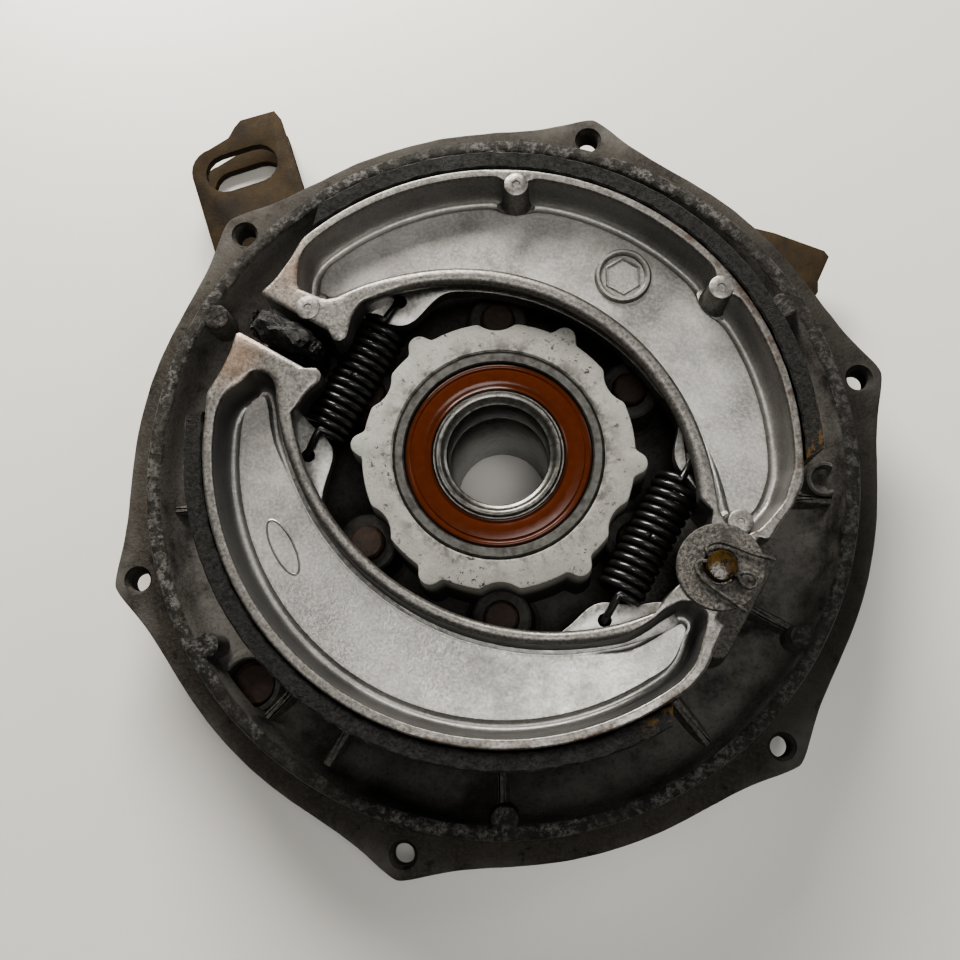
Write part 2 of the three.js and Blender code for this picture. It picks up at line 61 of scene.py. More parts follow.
low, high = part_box("bearing_inner_ring")
AXLE = np.array([(low.x + high.x) / 2, (low.y + high.y) / 2, 0.0])
MM = 0.001
SHOE_LINE = math.radians(-30)
SHARP = 35
AXIS_R = 0.01  # a turned profile that reaches its axis stops this short of it

HUB_FACE_Z = 66.0
HUB_R = 37.6
BEARING_TOP_Z = 66.1
BEARING_BOTTOM_Z = 50.1
BEARING_R = 29.0
RING_TOP_Z = 41.5
RING_OUTER_R = 105.2
RING_INNER_R = 100.3
FLANGE_TOP_Z = 31.2
FLANGE_BOTTOM_Z = 21.0
PANEL_BACK_Z = 17.0
FLANGE_R = 112.4
EAR_RISE = 7.8
EAR_SPREAD = 6.6  # degrees
EAR_POWER = 1.44
EAR_ANGLES = (15, 75, 135, 195, 255, 315)
EAR_PITCH_R = 112.8
BOLT_PITCH_R = 43.6
BOLT_ANGLES = (30, 90, 150, 210, 270, 330)
BOLT_HOLLOW_R = 8.2
KNOB_ANGLES = (60, 125, 175, 240, 305, 355)
KNOB_R = 3.4
RIBS = (  # angle, inner end, outer end
    (185, 84, 99), (225.5, 87, 100), (238.5, 84, 99), (269.5, 82, 98),
    (306.7, 82, 99.5), (331, 82, 100.0), (355, 87, 99.5),
)
RIB_HALF_WIDTH = 1.3
STUD_PITCH_R = 98.8
STUD_R = 3.9
EAR_HOLE_R = 3.05
THREAD_R = 3.45

SIDES = {"upper": 1, "lower": -1}
SHOE_TOP_Z = 74.0
SHOE_BOTTOM_Z = 45.0
SHOE_FLOOR_Z = 62.5
WEB_TOP_Z = 62.0
ANCHOR_X = 66.4
CAM_X = -68.0
EYE_X = 47.0
CAM_EYE_X = -46.4
EYE_Y = 25.5
EYE_R = 1.9
SHOE_CENTRE = (0.2, -2.2)
UPPER_ARC = (-1.0, -21.4, 64.8)  # centre and radius of the shoe's inner edge
LOWER_ARC = (1.5, -27.0, 71.8)
SKIRT_R = 56  # nearer to the axle than this, the shoe's wall is shorter
SKIRT_Z = 52.8
BEAD_WIDTH = 4.5
LOWER_BEAD_WIDTH = 3.5
LAND_Y = 6.1
TRAY_R = 79.6
PAD_R = 3.45
OUTER_PADS = ((-32.3, 68.0), (31.5, 68.6))
ANCHOR_PAD = (65.7, 13.4)
CAM_PAD = (-65.0, 9.0)
BOSS_CENTRE = (5.3, 62.6)
PLUG = (-74.3, -60.2)
PLUG_R = 7.3
PIVOT_R = 7.6
SPRING_R = 5.9
WIRE_R = 1.08
SPRING_Z = 60.0
COILS = 14
PITCH = 2.55
STEPS_PER_COIL = 28

# ------ mesh helpers


def turn_z(points, angle):
    c, s = math.cos(angle), math.sin(angle)
    x, y = points[:, 0], points[:, 1]
    return np.column_stack([c * x - s * y, s * x + c * y, points[:, 2]])


def add_object(name, data):
    thing = bpy.data.objects.new(name, data)
    bpy.context.scene.collection.objects.link(thing)
    return thing


def mesh_of(name, vertices, faces):
    """A mesh in metres from vertices in millimetres about the axle."""
    mesh = bpy.data.meshes.new(name)
    mesh.from_pydata((np.asarray(vertices, float) * MM + AXLE).tolist(), [], faces)
    return mesh


def face_outwards(mesh):
    model = bmesh.new()
    model.from_mesh(mesh)
    bmesh.ops.recalc_face_normals(model, faces=model.faces)
    model.to_mesh(mesh)
    model.free()


def make(name, vertices, faces, finish, body, replaces=(), turn=0.0, sharp=SHARP, values=None):
    """A piece from vertices in millimetres about the axle, riding on a CAD body. values holds
    numbers per vertex that its material reads."""
    mesh = mesh_of(name, turn_z(np.asarray(vertices, float), turn), faces)
    mesh.validate()
    face_outwards(mesh)
    mesh.shade_smooth()
    mesh.set_sharp_from_angle(angle=math.radians(sharp))
    for key, column in (values or {}).items():
        attribute = mesh.attributes.new(key, "FLOAT", "POINT")
        attribute.data.foreach_set("value", np.asarray(column, np.float32))
    piece = add_object(name, mesh)
    slot, material = finish
    mesh.materials.append(material)
    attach(piece, body)
    if replaces:
        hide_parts(*replaces)
    return piece


def loft(loops, ring=True, cap_first=False, cap_last=False, tube=False):
    """Quads between loops that have the same number of points. ring closes each loop on itself,
    and tube joins the last loop to the first."""
    count = len(loops[0])
    vertices = np.vstack(loops)
    faces = []
    rows = len(loops) if tube else len(loops) - 1
    columns = count if ring else count - 1
    for row in range(rows):
        a = row * count
        b = ((row + 1) % len(loops)) * count
        for i in range(columns):
            j = (i + 1) % count
            faces.append((a + i, a + j, b + j, b + i))
    if cap_first:
        faces.append(tuple(range(count))[::-1])
    if cap_last:
        start = (len(loops) - 1) * count
        faces.append(tuple(range(start, start + count)))
    return vertices, faces


def join(*parts):
    vertices, faces, offset = [], [], 0
    for v, f in parts:
        vertices.append(v)
        faces.extend(tuple(i + offset for i in face) for face in f)
        offset += len(v)
    return np.vstack(vertices), faces


def all_round(count):
    return np.linspace(0, 2 * math.pi, count, endpoint=False)


def circle(radius, z, count=96, x=0.0, y=0.0):
    a = all_round(count)
    return np.column_stack([x + radius * np.cos(a), y + radius * np.sin(a), np.full(count, z)])


def turned(profile, count=96, x=0.0, y=0.0, closed=True):
    """A body turned about an upright axis, from (radius, z) pairs taken anticlockwise."""
    loops = [circle(r, z, count, x, y) for r, z in profile]
    return loft(loops, tube=closed)


def arc(cx, cy, radius, start, end, count):
    a = np.radians(np.linspace(start, end, count))
    return np.column_stack([cx + radius * np.cos(a), cy + radius * np.sin(a)])


def polyline(*pieces):
    return np.vstack([np.atleast_2d(np.asarray(p, float)) for p in pieces])


def unit(rows):
    return rows / np.linalg.norm(rows, axis=1)[:, None]


def resample(line, count, closed=False):
    """count points at equal steps along a line."""
    line = np.vstack([line, line[:1]]) if closed else line
    step = np.linalg.norm(np.diff(line, axis=0), axis=1)
    along = np.concatenate([[0], np.cumsum(step)])
    wanted = np.linspace(0, along[-1], count + 1)[:-1] if closed else np.linspace(0, along[-1], count)
    return np.column_stack([np.interp(wanted, along, line[:, k]) for k in range(2)])


def relax(loop, passes):
    """Rounds the corners of a closed loop a little."""
    for _ in range(passes):
        loop = (np.roll(loop, 1, 0) + 2 * loop + np.roll(loop, -1, 0)) / 4
    return loop


def inward(loop, distance):
    """A closed anticlockwise loop moved inwards."""
    ahead = np.roll(loop, -1, 0) - np.roll(loop, 1, 0)
    normal = np.column_stack([-ahead[:, 1], ahead[:, 0]])
    normal /= np.linalg.norm(normal, axis=1)[:, None] + 1e-12
    return loop + normal * distance


def at_height(loop, z):
    return np.column_stack([loop, np.full(len(loop), z)])


def slab(loop, bottom, top, edge=0.5, draft=0.0):
    """An upright slab with a rounded top edge, from a closed anticlockwise loop."""
    loops = [
        at_height(inward(loop, -draft), bottom),
        at_height(loop, top - edge),
        at_height(inward(loop, edge * 0.3), top - edge * 0.3),
        at_height(inward(loop, edge), top),
    ]
    return loft(loops, cap_first=True, cap_last=True)


def sweep(path, radius, sides=10, closed=False):
    """A round wire along a path of 3-D points."""
    path = np.asarray(path, float)
    ahead = unit(np.gradient(path, axis=0))
    normal = np.cross(ahead[0], [0.3, 0.2, 1.0])
    loops = []
    for point, along in zip(path, ahead):
        normal = normal - along * np.dot(normal, along)
        normal /= np.linalg.norm(normal)
        side = np.cross(along, normal)
        a = all_round(sides)
        loops.append(point + radius * (np.outer(np.cos(a), normal) + np.outer(np.sin(a), side)))
    return loft(loops, tube=closed, cap_first=not closed, cap_last=not closed)


def smooth_path(points, count):
    """A smooth curve through 3-D points."""
    points = np.asarray(points, float)
    keys = np.linspace(0, 1, len(points))
    wanted = np.linspace(0, 1, count)
    slopes = np.gradient(points, keys, axis=0)
    index = np.clip(np.searchsorted(keys, wanted, side="right") - 1, 0, len(points) - 2)
    width = keys[1] - keys[0]
    t = ((wanted - keys[index]) / width)[:, None]
    p, q, m, n = points[index], points[index + 1], slopes[index] * width, slopes[index + 1] * width
    return (
        (2 * t**3 - 3 * t**2 + 1) * p
        + (t**3 - 2 * t**2 + t) * m
        + (-2 * t**3 + 3 * t**2) * q
        + (t**3 - t**2) * n
    )


def cut(piece, vertices, faces):
    """Cuts a closed body out of a piece."""
    mesh = mesh_of("cutter", vertices, faces)
    face_outwards(mesh)
    cutter = add_object("cutter", mesh)
    modifier = piece.modifiers.new("cut", "BOOLEAN")
    modifier.object = cutter
    modifier.solver = "EXACT"
    apply_modifiers(piece)
    bpy.data.objects.remove(cutter)
    piece.data.set_sharp_from_angle(angle=math.radians(SHARP))


def apply_modifiers(piece):
    bpy.context.view_layer.update()
    finished = bpy.data.meshes.new_from_object(piece.evaluated_get(bpy.context.evaluated_depsgraph_get()))
    piece.modifiers.clear()
    piece.data = finished


def rough_top(x, y, radius, bottom, top):
    """A round post with a rough, cast top."""
    count = 48
    depth = 0.35
    scale = 0.9
    loops = [circle(radius + 0.5, bottom, count, x, y), circle(radius, top - 0.6, count, x, y)]
    for share in (0.97, 0.85, 0.7, 0.5, 0.3, 0.1, 0.01):
        loop = circle(radius * share, top, count, x, y)
        loop[:, 2] += depth * bumps(loop, scale) - 0.25 * (share > 0.9)
        loops.append(loop)
    return loft(loops)


def bumps(points, scale):
    return np.array([noise.noise(Vector(p * scale)) for p in points])


def squarish(value):
    return np.sign(value) * np.abs(value) ** 0.75


def lump(x, y, z, a, b, c, rough, scale):
    """A rough lump: half lengths a, b and c about x, y, z."""
    rows, count = 26, 40
    pole = math.pi / 2 - 0.04
    tilt = np.linspace(-pole, pole, rows)
    around = all_round(count)
    centre = np.array([x, y, z])
    loops = []
    for t in tilt:
        ring = squarish(math.cos(t))
        unit = np.column_stack([
            ring * squarish(np.cos(around)),
            ring * squarish(np.sin(around)),
            np.full(count, squarish(math.sin(t))),
        ])
        body = unit * np.array([a, b, c])
        grow = 1 + rough * bumps(body + centre, scale) + 0.7 * rough * bumps(body, 3 * scale)
        loops.append(body * grow[:, None] + centre)
    return loft(loops, cap_first=True, cap_last=True)


def refined(name, finish, body, bevel):
    """A copy of a CAD node with its edges rounded and its curves shaded smooth."""
    piece = add_object(f"{name}_finished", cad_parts[name].data.copy())
    model = bmesh.new()
    model.from_mesh(piece.data)
    bmesh.ops.remove_doubles(model, verts=model.verts, dist=1e-6)
    bmesh.ops.dissolve_limit(model, angle_limit=math.radians(2), verts=model.verts, edges=model.edges)
    model.to_mesh(piece.data)
    model.free()
    modifier = piece.modifiers.new("edges", "BEVEL")
    modifier.width = bevel * MM
    modifier.segments = 2
    modifier.limit_method = "ANGLE"
    modifier.angle_limit = math.radians(40)
    apply_modifiers(piece)
    slot, material = finish
    piece.data.materials.clear()
    piece.data.materials.append(material)
    piece.data.shade_smooth()
    piece.data.set_sharp_from_angle(angle=math.radians(SHARP))
    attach(piece, body)
    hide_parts(name)


def polar(radius, degrees):
    a = math.radians(degrees)
    return radius * math.cos(a), radius * math.sin(a)


def ramp(x, start, end):
    t = np.clip((x - start) / (end - start), 0, 1)
    return t * t * (3 - 2 * t)


# ------ materials


class Nodes:
    """Short names for building a material's node tree."""

    def __init__(self, name):
        self.material = bpy.data.materials.new(name)
        self.material.use_nodes = True
        self.tree = self.material.node_tree
        self.shader = self.tree.nodes["Principled BSDF"]

    def new(self, kind, **inputs):
        node = self.tree.nodes.new(kind)
        for key, value in inputs.items():
            self.put(node.inputs[key.replace("_", " ")], value)
        return node

    def put(self, socket, value):
        if isinstance(value, bpy.types.NodeSocket):
            self.tree.links.new(value, socket)
        else:
            socket.default_value = value

    def position(self):
        return self.new("ShaderNodeTexCoord").outputs["Object"]

    def noise(self, scale, detail, roughness):
        node = self.new("ShaderNodeTexNoise", Vector=self.position(), Scale=scale, Detail=detail,
                        Roughness=roughness)
        return node.outputs["Fac"]

    def band(self, value, start, end, low=0.0, high=1.0):
        """Goes from low, where value is start, to high, where it is end, and stays there beyond."""
        node = self.new("ShaderNodeMapRange", Value=value, From_Min=start, From_Max=end,
                        To_Min=low, To_Max=high)
        return node.outputs["Result"]

    def patches(self, scale, detail, roughness, start, end):
        """Noise with its middle values drawn apart into patches."""
        return self.band(self.noise(scale, detail, roughness), start, end)

    def operate(self, kind, operation, *values):
        node = self.new(kind)
        node.operation = operation
        for socket, value in zip(node.inputs, values):
            self.put(socket, value)
        return node

    def maths(self, operation, a, b):
        node = self.operate("ShaderNodeMath", operation, a, b)
        node.use_clamp = True
        return node.outputs[0]

    def times(self, a, b):
        return self.maths("MULTIPLY", a, b)

    def mix(self, factor, a, b):
        node = self.new("ShaderNodeMix")
        node.data_type = "RGBA"
        self.put(node.inputs["Factor"], factor)
        self.put(node.inputs[6], colour(a))
        self.put(node.inputs[7], colour(b))
        return node.outputs[2]

    def tint(self, base, mask, share, tone):
        """base with some of another tone where the mask is on."""
        return self.mix(self.times(mask, share), base, tone)

    def attribute(self, name):
        node = self.new("ShaderNodeAttribute")
        node.attribute_name = name
        return node.outputs["Fac"]

    def radius(self):
        """Distance from the axle, in metres."""
        away = self.operate("ShaderNodeVectorMath", "SUBTRACT", self.position(), tuple(AXLE))
        flat = self.operate("ShaderNodeVectorMath", "MULTIPLY", away.outputs["Vector"], (1, 1, 0))
        return self.operate("ShaderNodeVectorMath", "LENGTH", flat.outputs["Vector"]).outputs["Value"]

    def coordinate(self, axis):
        return self.new("ShaderNodeSeparateXYZ", Vector=self.position()).outputs[axis]

    def finish(self, slot, base, roughness, metallic=0.0, bump=None, strength=0.2, distance=0.3, gloss=0.5):
        self.shader.inputs["Specular IOR Level"].default_value = gloss
        self.put(self.shader.inputs["Base Color"], colour(base))
        self.put(self.shader.inputs["Roughness"], roughness)
        self.put(self.shader.inputs["Metallic"], metallic)
        if bump is not None:
            node = self.new("ShaderNodeBump", Height=bump, Strength=strength, Distance=distance * MM)
            self.put(self.shader.inputs["Normal"], node.outputs["Normal"])
        return slot, self.material


def colour(value):
    return (*value, 1.0) if isinstance(value, tuple) and len(value) == 3 else value


# Colours are linear red, green and blue. Noise scales are per metre.


def cast_shoe():
    """Bright cast aluminium. The rim is duller than the tray's floor, and the walls are darkened as painted
    shade.
    """
    n = Nodes("cast_shoe")
    grain = n.noise(1100, 4, 0.65)
    cloud = n.noise(38, 5, 0.62)
    pits = n.patches(1700, 2, 0.5, 0.6, 0.68)
    stain = n.patches(160, 6, 0.75, 0.48, 0.66)
    floor = n.mix(n.band(cloud, 0.32, 0.68), (0.2, 0.195, 0.186), (0.36, 0.353, 0.338))
    floor = n.tint(floor, stain, 0.45, (0.2, 0.185, 0.16))
    floor = n.tint(floor, n.band(grain, 0.4, 0.66), 0.4, (0.5, 0.49, 0.47))
    edge = n.mix(n.band(grain, 0.34, 0.66), (0.095, 0.09, 0.082), (0.24, 0.231, 0.215))
    edge = n.tint(edge, pits, 0.45, (0.06, 0.055, 0.05))
    base = n.mix(n.attribute("rim"), floor, edge)
    # Painted shade: the walls, as marked by the wall attribute, are drawn towards dark grey.
    base = n.tint(base, n.attribute("wall"), 0.85, (0.1, 0.1, 0.1))
    rust = n.times(n.attribute("rust"), n.patches(60, 4, 0.6, 0.32, 0.66))
    base = n.tint(base, rust, 0.48, (0.24, 0.135, 0.075))
    streak = n.times(n.attribute("streak"), n.patches(150, 5, 0.7, 0.46, 0.58))
    base = n.tint(base, streak, 0.75, (0.055, 0.03, 0.019))
    rough = n.band(n.noise(75, 5, 0.7), 0.36, 0.64, 0.34, 0.5)
    relief = n.maths("ADD", n.times(grain, 0.7), n.times(cloud, 0.3))
    return n.finish("shoe_casting", base, rough, 0.9, relief, 0.35, 0.3)


def shoe_web():
    n = Nodes("shoe_web")
    grain = n.noise(900, 4, 0.65)
    base = n.mix(n.band(grain, 0.35, 0.65), (0.2, 0.195, 0.185), (0.36, 0.352, 0.335))
    base = n.tint(base, n.patches(150, 5, 0.7, 0.52, 0.66), 0.5, (0.15, 0.14, 0.12))
    return n.finish("shoe_casting", base, n.band(grain, 0.3, 0.7, 0.3, 0.45), 0.9, grain, 0.2, 0.2)


def hub_casting():
    """Pale, matt and speckled, greasy towards the bearing, with painted shade low down between the shoes."""
    n = Nodes("blasted_hub")
    grain = n.noise(1400, 3, 0.6)
    cloud = n.noise(60, 4, 0.6)
    specks = n.times(n.patches(780, 3, 0.6, 0.6, 0.63), n.patches(95, 4, 0.7, 0.5, 0.6))
    dirt = n.patches(420, 5, 0.75, 0.6, 0.66)
    base = n.mix(grain, (0.19, 0.187, 0.17), (0.38, 0.375, 0.345))
    base = n.tint(base, cloud, 0.35, (0.17, 0.165, 0.15))
    base = n.mix(n.maths("MAXIMUM", specks, n.times(dirt, 0.8)), base, (0.03, 0.028, 0.024))
    inside = n.band(n.radius(), 0.035, 0.03)
    base = n.mix(n.times(inside, n.patches(200, 5, 0.7, 0.44, 0.6)), base, (0.09, 0.085, 0.075))
    # Painted shade: the hub is drawn almost black low down, under the shoes.
    painted_shade_low = n.band(n.coordinate("Z"), 0.0625, 0.052)
    base = n.tint(base, painted_shade_low, 0.95, (0.02, 0.018, 0.016))
    return n.finish("panel_casting", base, 0.75, 0.15, grain, 0.4, 0.2)


def grimy_casting():
    """One casting in three tones: the trough inside the ring, the scraped ring, and the flange."""
    n = Nodes("grimy_casting")
    fine = n.noise(900, 5, 0.7)
    cloud = n.noise(55, 6, 0.65)
    blots = n.patches(330, 5, 0.72, 0.44, 0.56)
    radius = n.radius()
    height = n.coordinate("Z")
    trough = n.mix(n.band(cloud, 0.35, 0.65), (0.01, 0.0095, 0.008), (0.065, 0.061, 0.055))
    # The trough is lighter in patches towards its right side and towards its left side.
    lighter_right_patches = n.times(n.band(n.coordinate("X"), 0.03, 0.075), n.band(cloud, 0.3, 0.55))
    trough = n.tint(trough, lighter_right_patches, 0.8, (0.15, 0.142, 0.13))
    lighter_left_patches = n.times(n.band(n.coordinate("X"), -0.045, -0.08), n.band(cloud, 0.3, 0.55))
    trough = n.tint(trough, lighter_left_patches, 0.7, (0.14, 0.132, 0.12))
    trough = n.tint(trough, n.band(fine, 0.5, 0.7), 0.4, (0.004, 0.004, 0.003))
    flange = n.mix(n.band(cloud, 0.35, 0.65), (0.015, 0.012, 0.009), (0.042, 0.037, 0.03))
    flange = n.tint(flange, n.band(fine, 0.45, 0.7), 0.6, (0.08, 0.073, 0.062))
    # Painted shade: the ring and the flange are darkened towards the right.
    painted_shade_right = n.times(n.band(n.coordinate("X"), 0.055, 0.105), 0.55)
    flange = n.mix(n.patches(240, 5, 0.7, 0.58, 0.66), flange, (0.01, 0.009, 0.007))
    # The ears are lighter: partly bare metal, partly a painted highlight.
    ears = n.times(n.band(radius, 0.1095, 0.115), n.band(cloud, 0.4, 0.6))
    flange = n.tint(flange, ears, 0.6, (0.105, 0.1, 0.092))
    ring = n.mix(n.times(blots, n.band(fine, 0.4, 0.58)), (0.013, 0.012, 0.01), (0.115, 0.111, 0.103))
    ring = n.tint(ring, n.band(cloud, 0.46, 0.6), 0.6, (0.022, 0.019, 0.015))
    ring = n.mix(painted_shade_right, ring, (0.008, 0.007, 0.006))
    flange = n.mix(painted_shade_right, flange, (0.012, 0.011, 0.009))
    base = n.mix(n.band(radius, 0.1049, 0.1055), trough, flange)
    on_ring = n.times(n.band(height, 0.04, 0.0412), n.band(radius, 0.094, 0.096))
    base = n.mix(on_ring, base, ring)
    rough = n.band(fine, 0.3, 0.7, 0.45, 0.85)
    return n.finish("panel_casting", base, rough, 0.0, fine, 0.7, 0.5, 0.22)


def lining_compound():
    """Black lining, with grease and an amber stain at the anchor's end."""
    n = Nodes("lining_compound")
    fine = n.noise(1000, 5, 0.7)
    grease = n.patches(150, 6, 0.7, 0.5, 0.6)
    base = n.mix(n.band(fine, 0.35, 0.65), (0.006, 0.006, 0.006), (0.034, 0.033, 0.031))
    base = n.tint(base, grease, 0.8, (0.006, 0.005, 0.004))
    amber = n.times(n.attribute("amber"), n.patches(260, 4, 0.7, 0.52, 0.58))
    base = n.mix(amber, base, (0.075, 0.04, 0.008))
    rough = n.band(n.maths("MAXIMUM", grease, amber), 0.0, 1.0, 0.9, 0.4)
    return n.finish("friction_lining", base, rough, 0.0, fine, 0.8, 0.6, 0.2)


def ground_steel(name, base=(0.19, 0.185, 0.172), rough=0.26, dirty=0.5):
    n = Nodes(name)
    fine = n.noise(700, 5, 0.68)
    marks = n.patches(320, 6, 0.72, 0.5, 0.62)
    shade = n.mix(n.band(fine, 0.35, 0.65), tuple(0.6 * c for c in base), base)
    shade = n.tint(shade, marks, dirty, (0.03, 0.026, 0.022))
    roughness = n.band(fine, 0.3, 0.7, rough, rough + 0.15)
    return n.finish("bearing_steel", shade, roughness, 0.9, fine, 0.15, 0.15)


def red_rubber():
    """A brick-red seal, with painted shade at its edges where it meets the rings."""
    n = Nodes("red_rubber")
    fine = n.noise(500, 4, 0.6)
    base = n.mix(fine, (0.046, 0.0105, 0.003), (0.07, 0.0165, 0.0045))
    # Painted shade in the creases where the seal meets the bearing's rings.
    edge = n.maths("MAXIMUM", n.band(n.radius(), 0.0249, 0.0256), n.band(n.radius(), 0.019, 0.0184))
    base = n.tint(base, edge, 0.9, (0.01, 0.006, 0.004))
    return n.finish("red_seal", base, n.band(fine, 0.3, 0.7, 0.12, 0.2), 0.0, fine, 0.08, 0.1, 0.16)


def simple(name, slot, noise_of, dark, light, rough, metallic, relief):
    """One fine noise in the colour, the gloss and the relief."""
    n = Nodes(name)
    fine = n.noise(*noise_of)
    base = n.mix(fine, dark, light)
    return n.finish(slot, base, n.band(fine, 0.3, 0.7, *rough), metallic, fine, relief, relief)


def rusty_steel():
    n = Nodes("rusty_steel")
    fine = n.noise(900, 5, 0.7)
    patch = n.noise(60, 6, 0.65)
    base = n.mix(n.band(patch, 0.4, 0.6), (0.009, 0.0058, 0.0028), (0.032, 0.0205, 0.008))
    base = n.tint(base, n.band(fine, 0.45, 0.75), 0.5, (0.055, 0.036, 0.019))
    base = n.tint(base, n.patches(180, 6, 0.7, 0.58, 0.66), 0.8, (0.016, 0.013, 0.01))
    return n.finish("rusty_steel", base, n.band(fine, 0.3, 0.7, 0.6, 0.9), 0.0, fine, 0.5, 0.4, 0.2)


def dark_rust():
    n = Nodes("dark_rust")
    fine = n.noise(700, 5, 0.7)
    lumps = n.noise(240, 4, 0.7)
    base = n.mix(n.band(fine, 0.4, 0.65), (0.012, 0.008, 0.006), (0.05, 0.027, 0.016))
    base = n.tint(base, n.band(lumps, 0.5, 0.65), 0.5, (0.075, 0.033, 0.018))
    return n.finish("rusty_steel", base, n.band(fine, 0.3, 0.7, 0.5, 0.85), 0.2, fine, 0.7, 0.5)


def grimy_steel(name="grimy_steel", light=(0.12, 0.112, 0.1), dark=(0.012, 0.011, 0.009), wet=0.45,
                slot="grimy_steel"):
    n = Nodes(name)
    fine = n.noise(1000, 6, 0.75)
    lumps = n.noise(190, 6, 0.7)
    base = n.mix(n.band(fine, 0.42, 0.6), dark, light)
    base = n.tint(base, n.band(lumps, 0.52, 0.62), 0.8, dark)
    return n.finish(slot, base, n.band(lumps, 0.4, 0.6, wet + 0.2, wet), 0.35, fine, 0.7, 0.5)


def oiled_pin():
    n = Nodes("oiled_pin")
    cloud = n.noise(500, 4, 0.6)
    base = n.mix(n.band(cloud, 0.4, 0.62), (0.01, 0.006, 0.002), (0.05, 0.028, 0.005))
    return n.finish("grimy_steel", base, 0.16, 0.0, cloud, 0.5, 0.3, 0.3)


SHOE = cast_shoe()
SHOE_WEB = shoe_web()
HUB = hub_casting()
PANEL = grimy_casting()
LINING = lining_compound()
STEEL = ground_steel("ground_steel")
OUTER_STEEL = ground_steel("outer_ring_steel", (0.11, 0.108, 0.101), 0.4, 0.6)
RED = red_rubber()
BLACK_RUBBER = simple("black_rubber", "black_rubber", (500, 4, 0.6), (0.012, 0.012, 0.012),
                      (0.03, 0.03, 0.03), (0.5, 0.7), 0.0, 0.2)
RUST = rusty_steel()
DARK_RUST = dark_rust()
SPRING = simple("black_spring", "black_spring_steel", (500, 4, 0.6), (0.003, 0.003, 0.003),
                (0.01, 0.0095, 0.009), (0.22, 0.4), 0.0, 0.15)
GRIMY = grimy_steel()
WASHER = grimy_steel("speckled_washer", (0.15, 0.14, 0.125), (0.03, 0.027, 0.023), 0.4)
BOSS = grimy_steel("boss_face", (0.14, 0.132, 0.118), (0.045, 0.041, 0.035), 0.5, "panel_casting")
CAM_GREASE = grimy_steel("cam_grease", (0.022, 0.02, 0.019), (0.004, 0.0037, 0.0034), 0.34)
OILED = oiled_pin()
PLATED = simple("plated_steel", "plated_steel", (600, 5, 0.6), (0.22, 0.215, 0.19), (0.38, 0.37, 0.34),
                (0.35, 0.55), 0.8, 0.2)

# ------ panel


def flange_radius(degrees):
    radius = np.full_like(degrees, FLANGE_R)
    for ear in EAR_ANGLES:
        away = (degrees - ear + 540) % 360 - 180
        radius += EAR_RISE * np.exp(-((np.abs(away) / EAR_SPREAD) ** EAR_POWER))
    return radius


def flange():
    """The panel's dish, ring and flange, as one closed body turned about the axle."""
    count = 900
    degrees = np.linspace(0, 360, count, endpoint=False)
    a = np.radians(degrees)
    edge = flange_radius(degrees)
    chips = 0.12 * np.sin(a * 23) * np.sin(a * 7 + 1) + 0.1 * np.sin(a * 61) * np.sin(a * 17)

    def loop(radius, z):
        return np.column_stack([radius * np.cos(a), radius * np.sin(a), np.full(count, z)])

    outer, inner = RING_OUTER_R, RING_INNER_R
    foot, rim, top = FLANGE_BOTTOM_Z, FLANGE_TOP_Z, RING_TOP_Z
    profile = [
        (100, foot), (edge - 1, foot), (edge - 0.1, foot + 1.2),
        (edge - 0.1 + 0.3 * chips, rim - 1), (edge - 0.4 + chips, rim - 0.3), (edge - 1 + chips, rim),
        (outer + 1.2, rim), (outer + 0.3, rim + 0.4), (outer, rim + 1.4),
        (outer - 0.4, top - 1.2), (outer - 0.8 + chips, top - 0.3), (outer - 1.6 + chips, top),
        (inner + 1.2 + chips, top), (inner + 0.4 + chips, top - 0.5), (inner - 0.1, top - 1.6),
        (99.2, 36.5), (98.3, 32.5), (96.6, 29.8), (93.5, 28.2), (89, 27.4), (80, 27), (70, 28),
        (60, 31.5), (50, 33), (34, 33.5), (34, 30), (60, 25), (90, 22.5),
    ]
    return loft([loop(radius, z) for radius, z in profile], tube=True)


def plug_hole():
    bottom, top = 15, 34
    profile = [(AXIS_R, bottom), (PLUG_R, bottom), (PLUG_R, top), (AXIS_R, top)]
    return turned(profile, 40, *PLUG, closed=False)


def panel_holes():
    """What is cut out of the casting: six countersunk holes with a worn thread, and the plug's hole."""
    bottom, top = 18, 33
    thread = [(THREAD_R if k % 2 else EAR_HOLE_R, bottom + 0.4 + 0.5 * k) for k in range(22)]
    countersink = [(3.3, 29.6), (4.1, 30.6), (4.3, top)]
    profile = [(AXIS_R, bottom), (EAR_HOLE_R, bottom), *thread, *countersink, (AXIS_R, top)]
    ears = (turned(profile, 40, *polar(EAR_PITCH_R, angle), closed=False) for angle in EAR_ANGLES)
    return join(*ears, plug_hole())


def crossings(points, pitch_r, circle_r, angle):
    """Which rays from the axle cross a circle, and how far out they enter and leave it."""
    along = points @ np.array(polar(pitch_r, angle))
    inside = along**2 - (pitch_r**2 - circle_r**2)
    half = np.sqrt(np.maximum(inside, 0))
    return (inside > 0) & (along > 0), along - half, along + half


def hub_outline():
    """Round hub with pads on its edge, and hollows beside the bolts."""
    a = np.radians(np.linspace(0, 360, 1440, endpoint=False))
    points = np.column_stack([np.cos(a), np.sin(a)])
    radius = np.full(len(a), HUB_R)
    for angle in BOLT_ANGLES:
        hit, near, _ = crossings(points, BOLT_PITCH_R, BOLT_HOLLOW_R, angle)
        radius = np.where(hit, np.minimum(radius, near), radius)
    for angle in KNOB_ANGLES:
        hit, _, far = crossings(points, HUB_R, KNOB_R, angle)
        radius = np.where(hit, np.maximum(radius, far), radius)
    return relax(points * radius[:, None], 24)


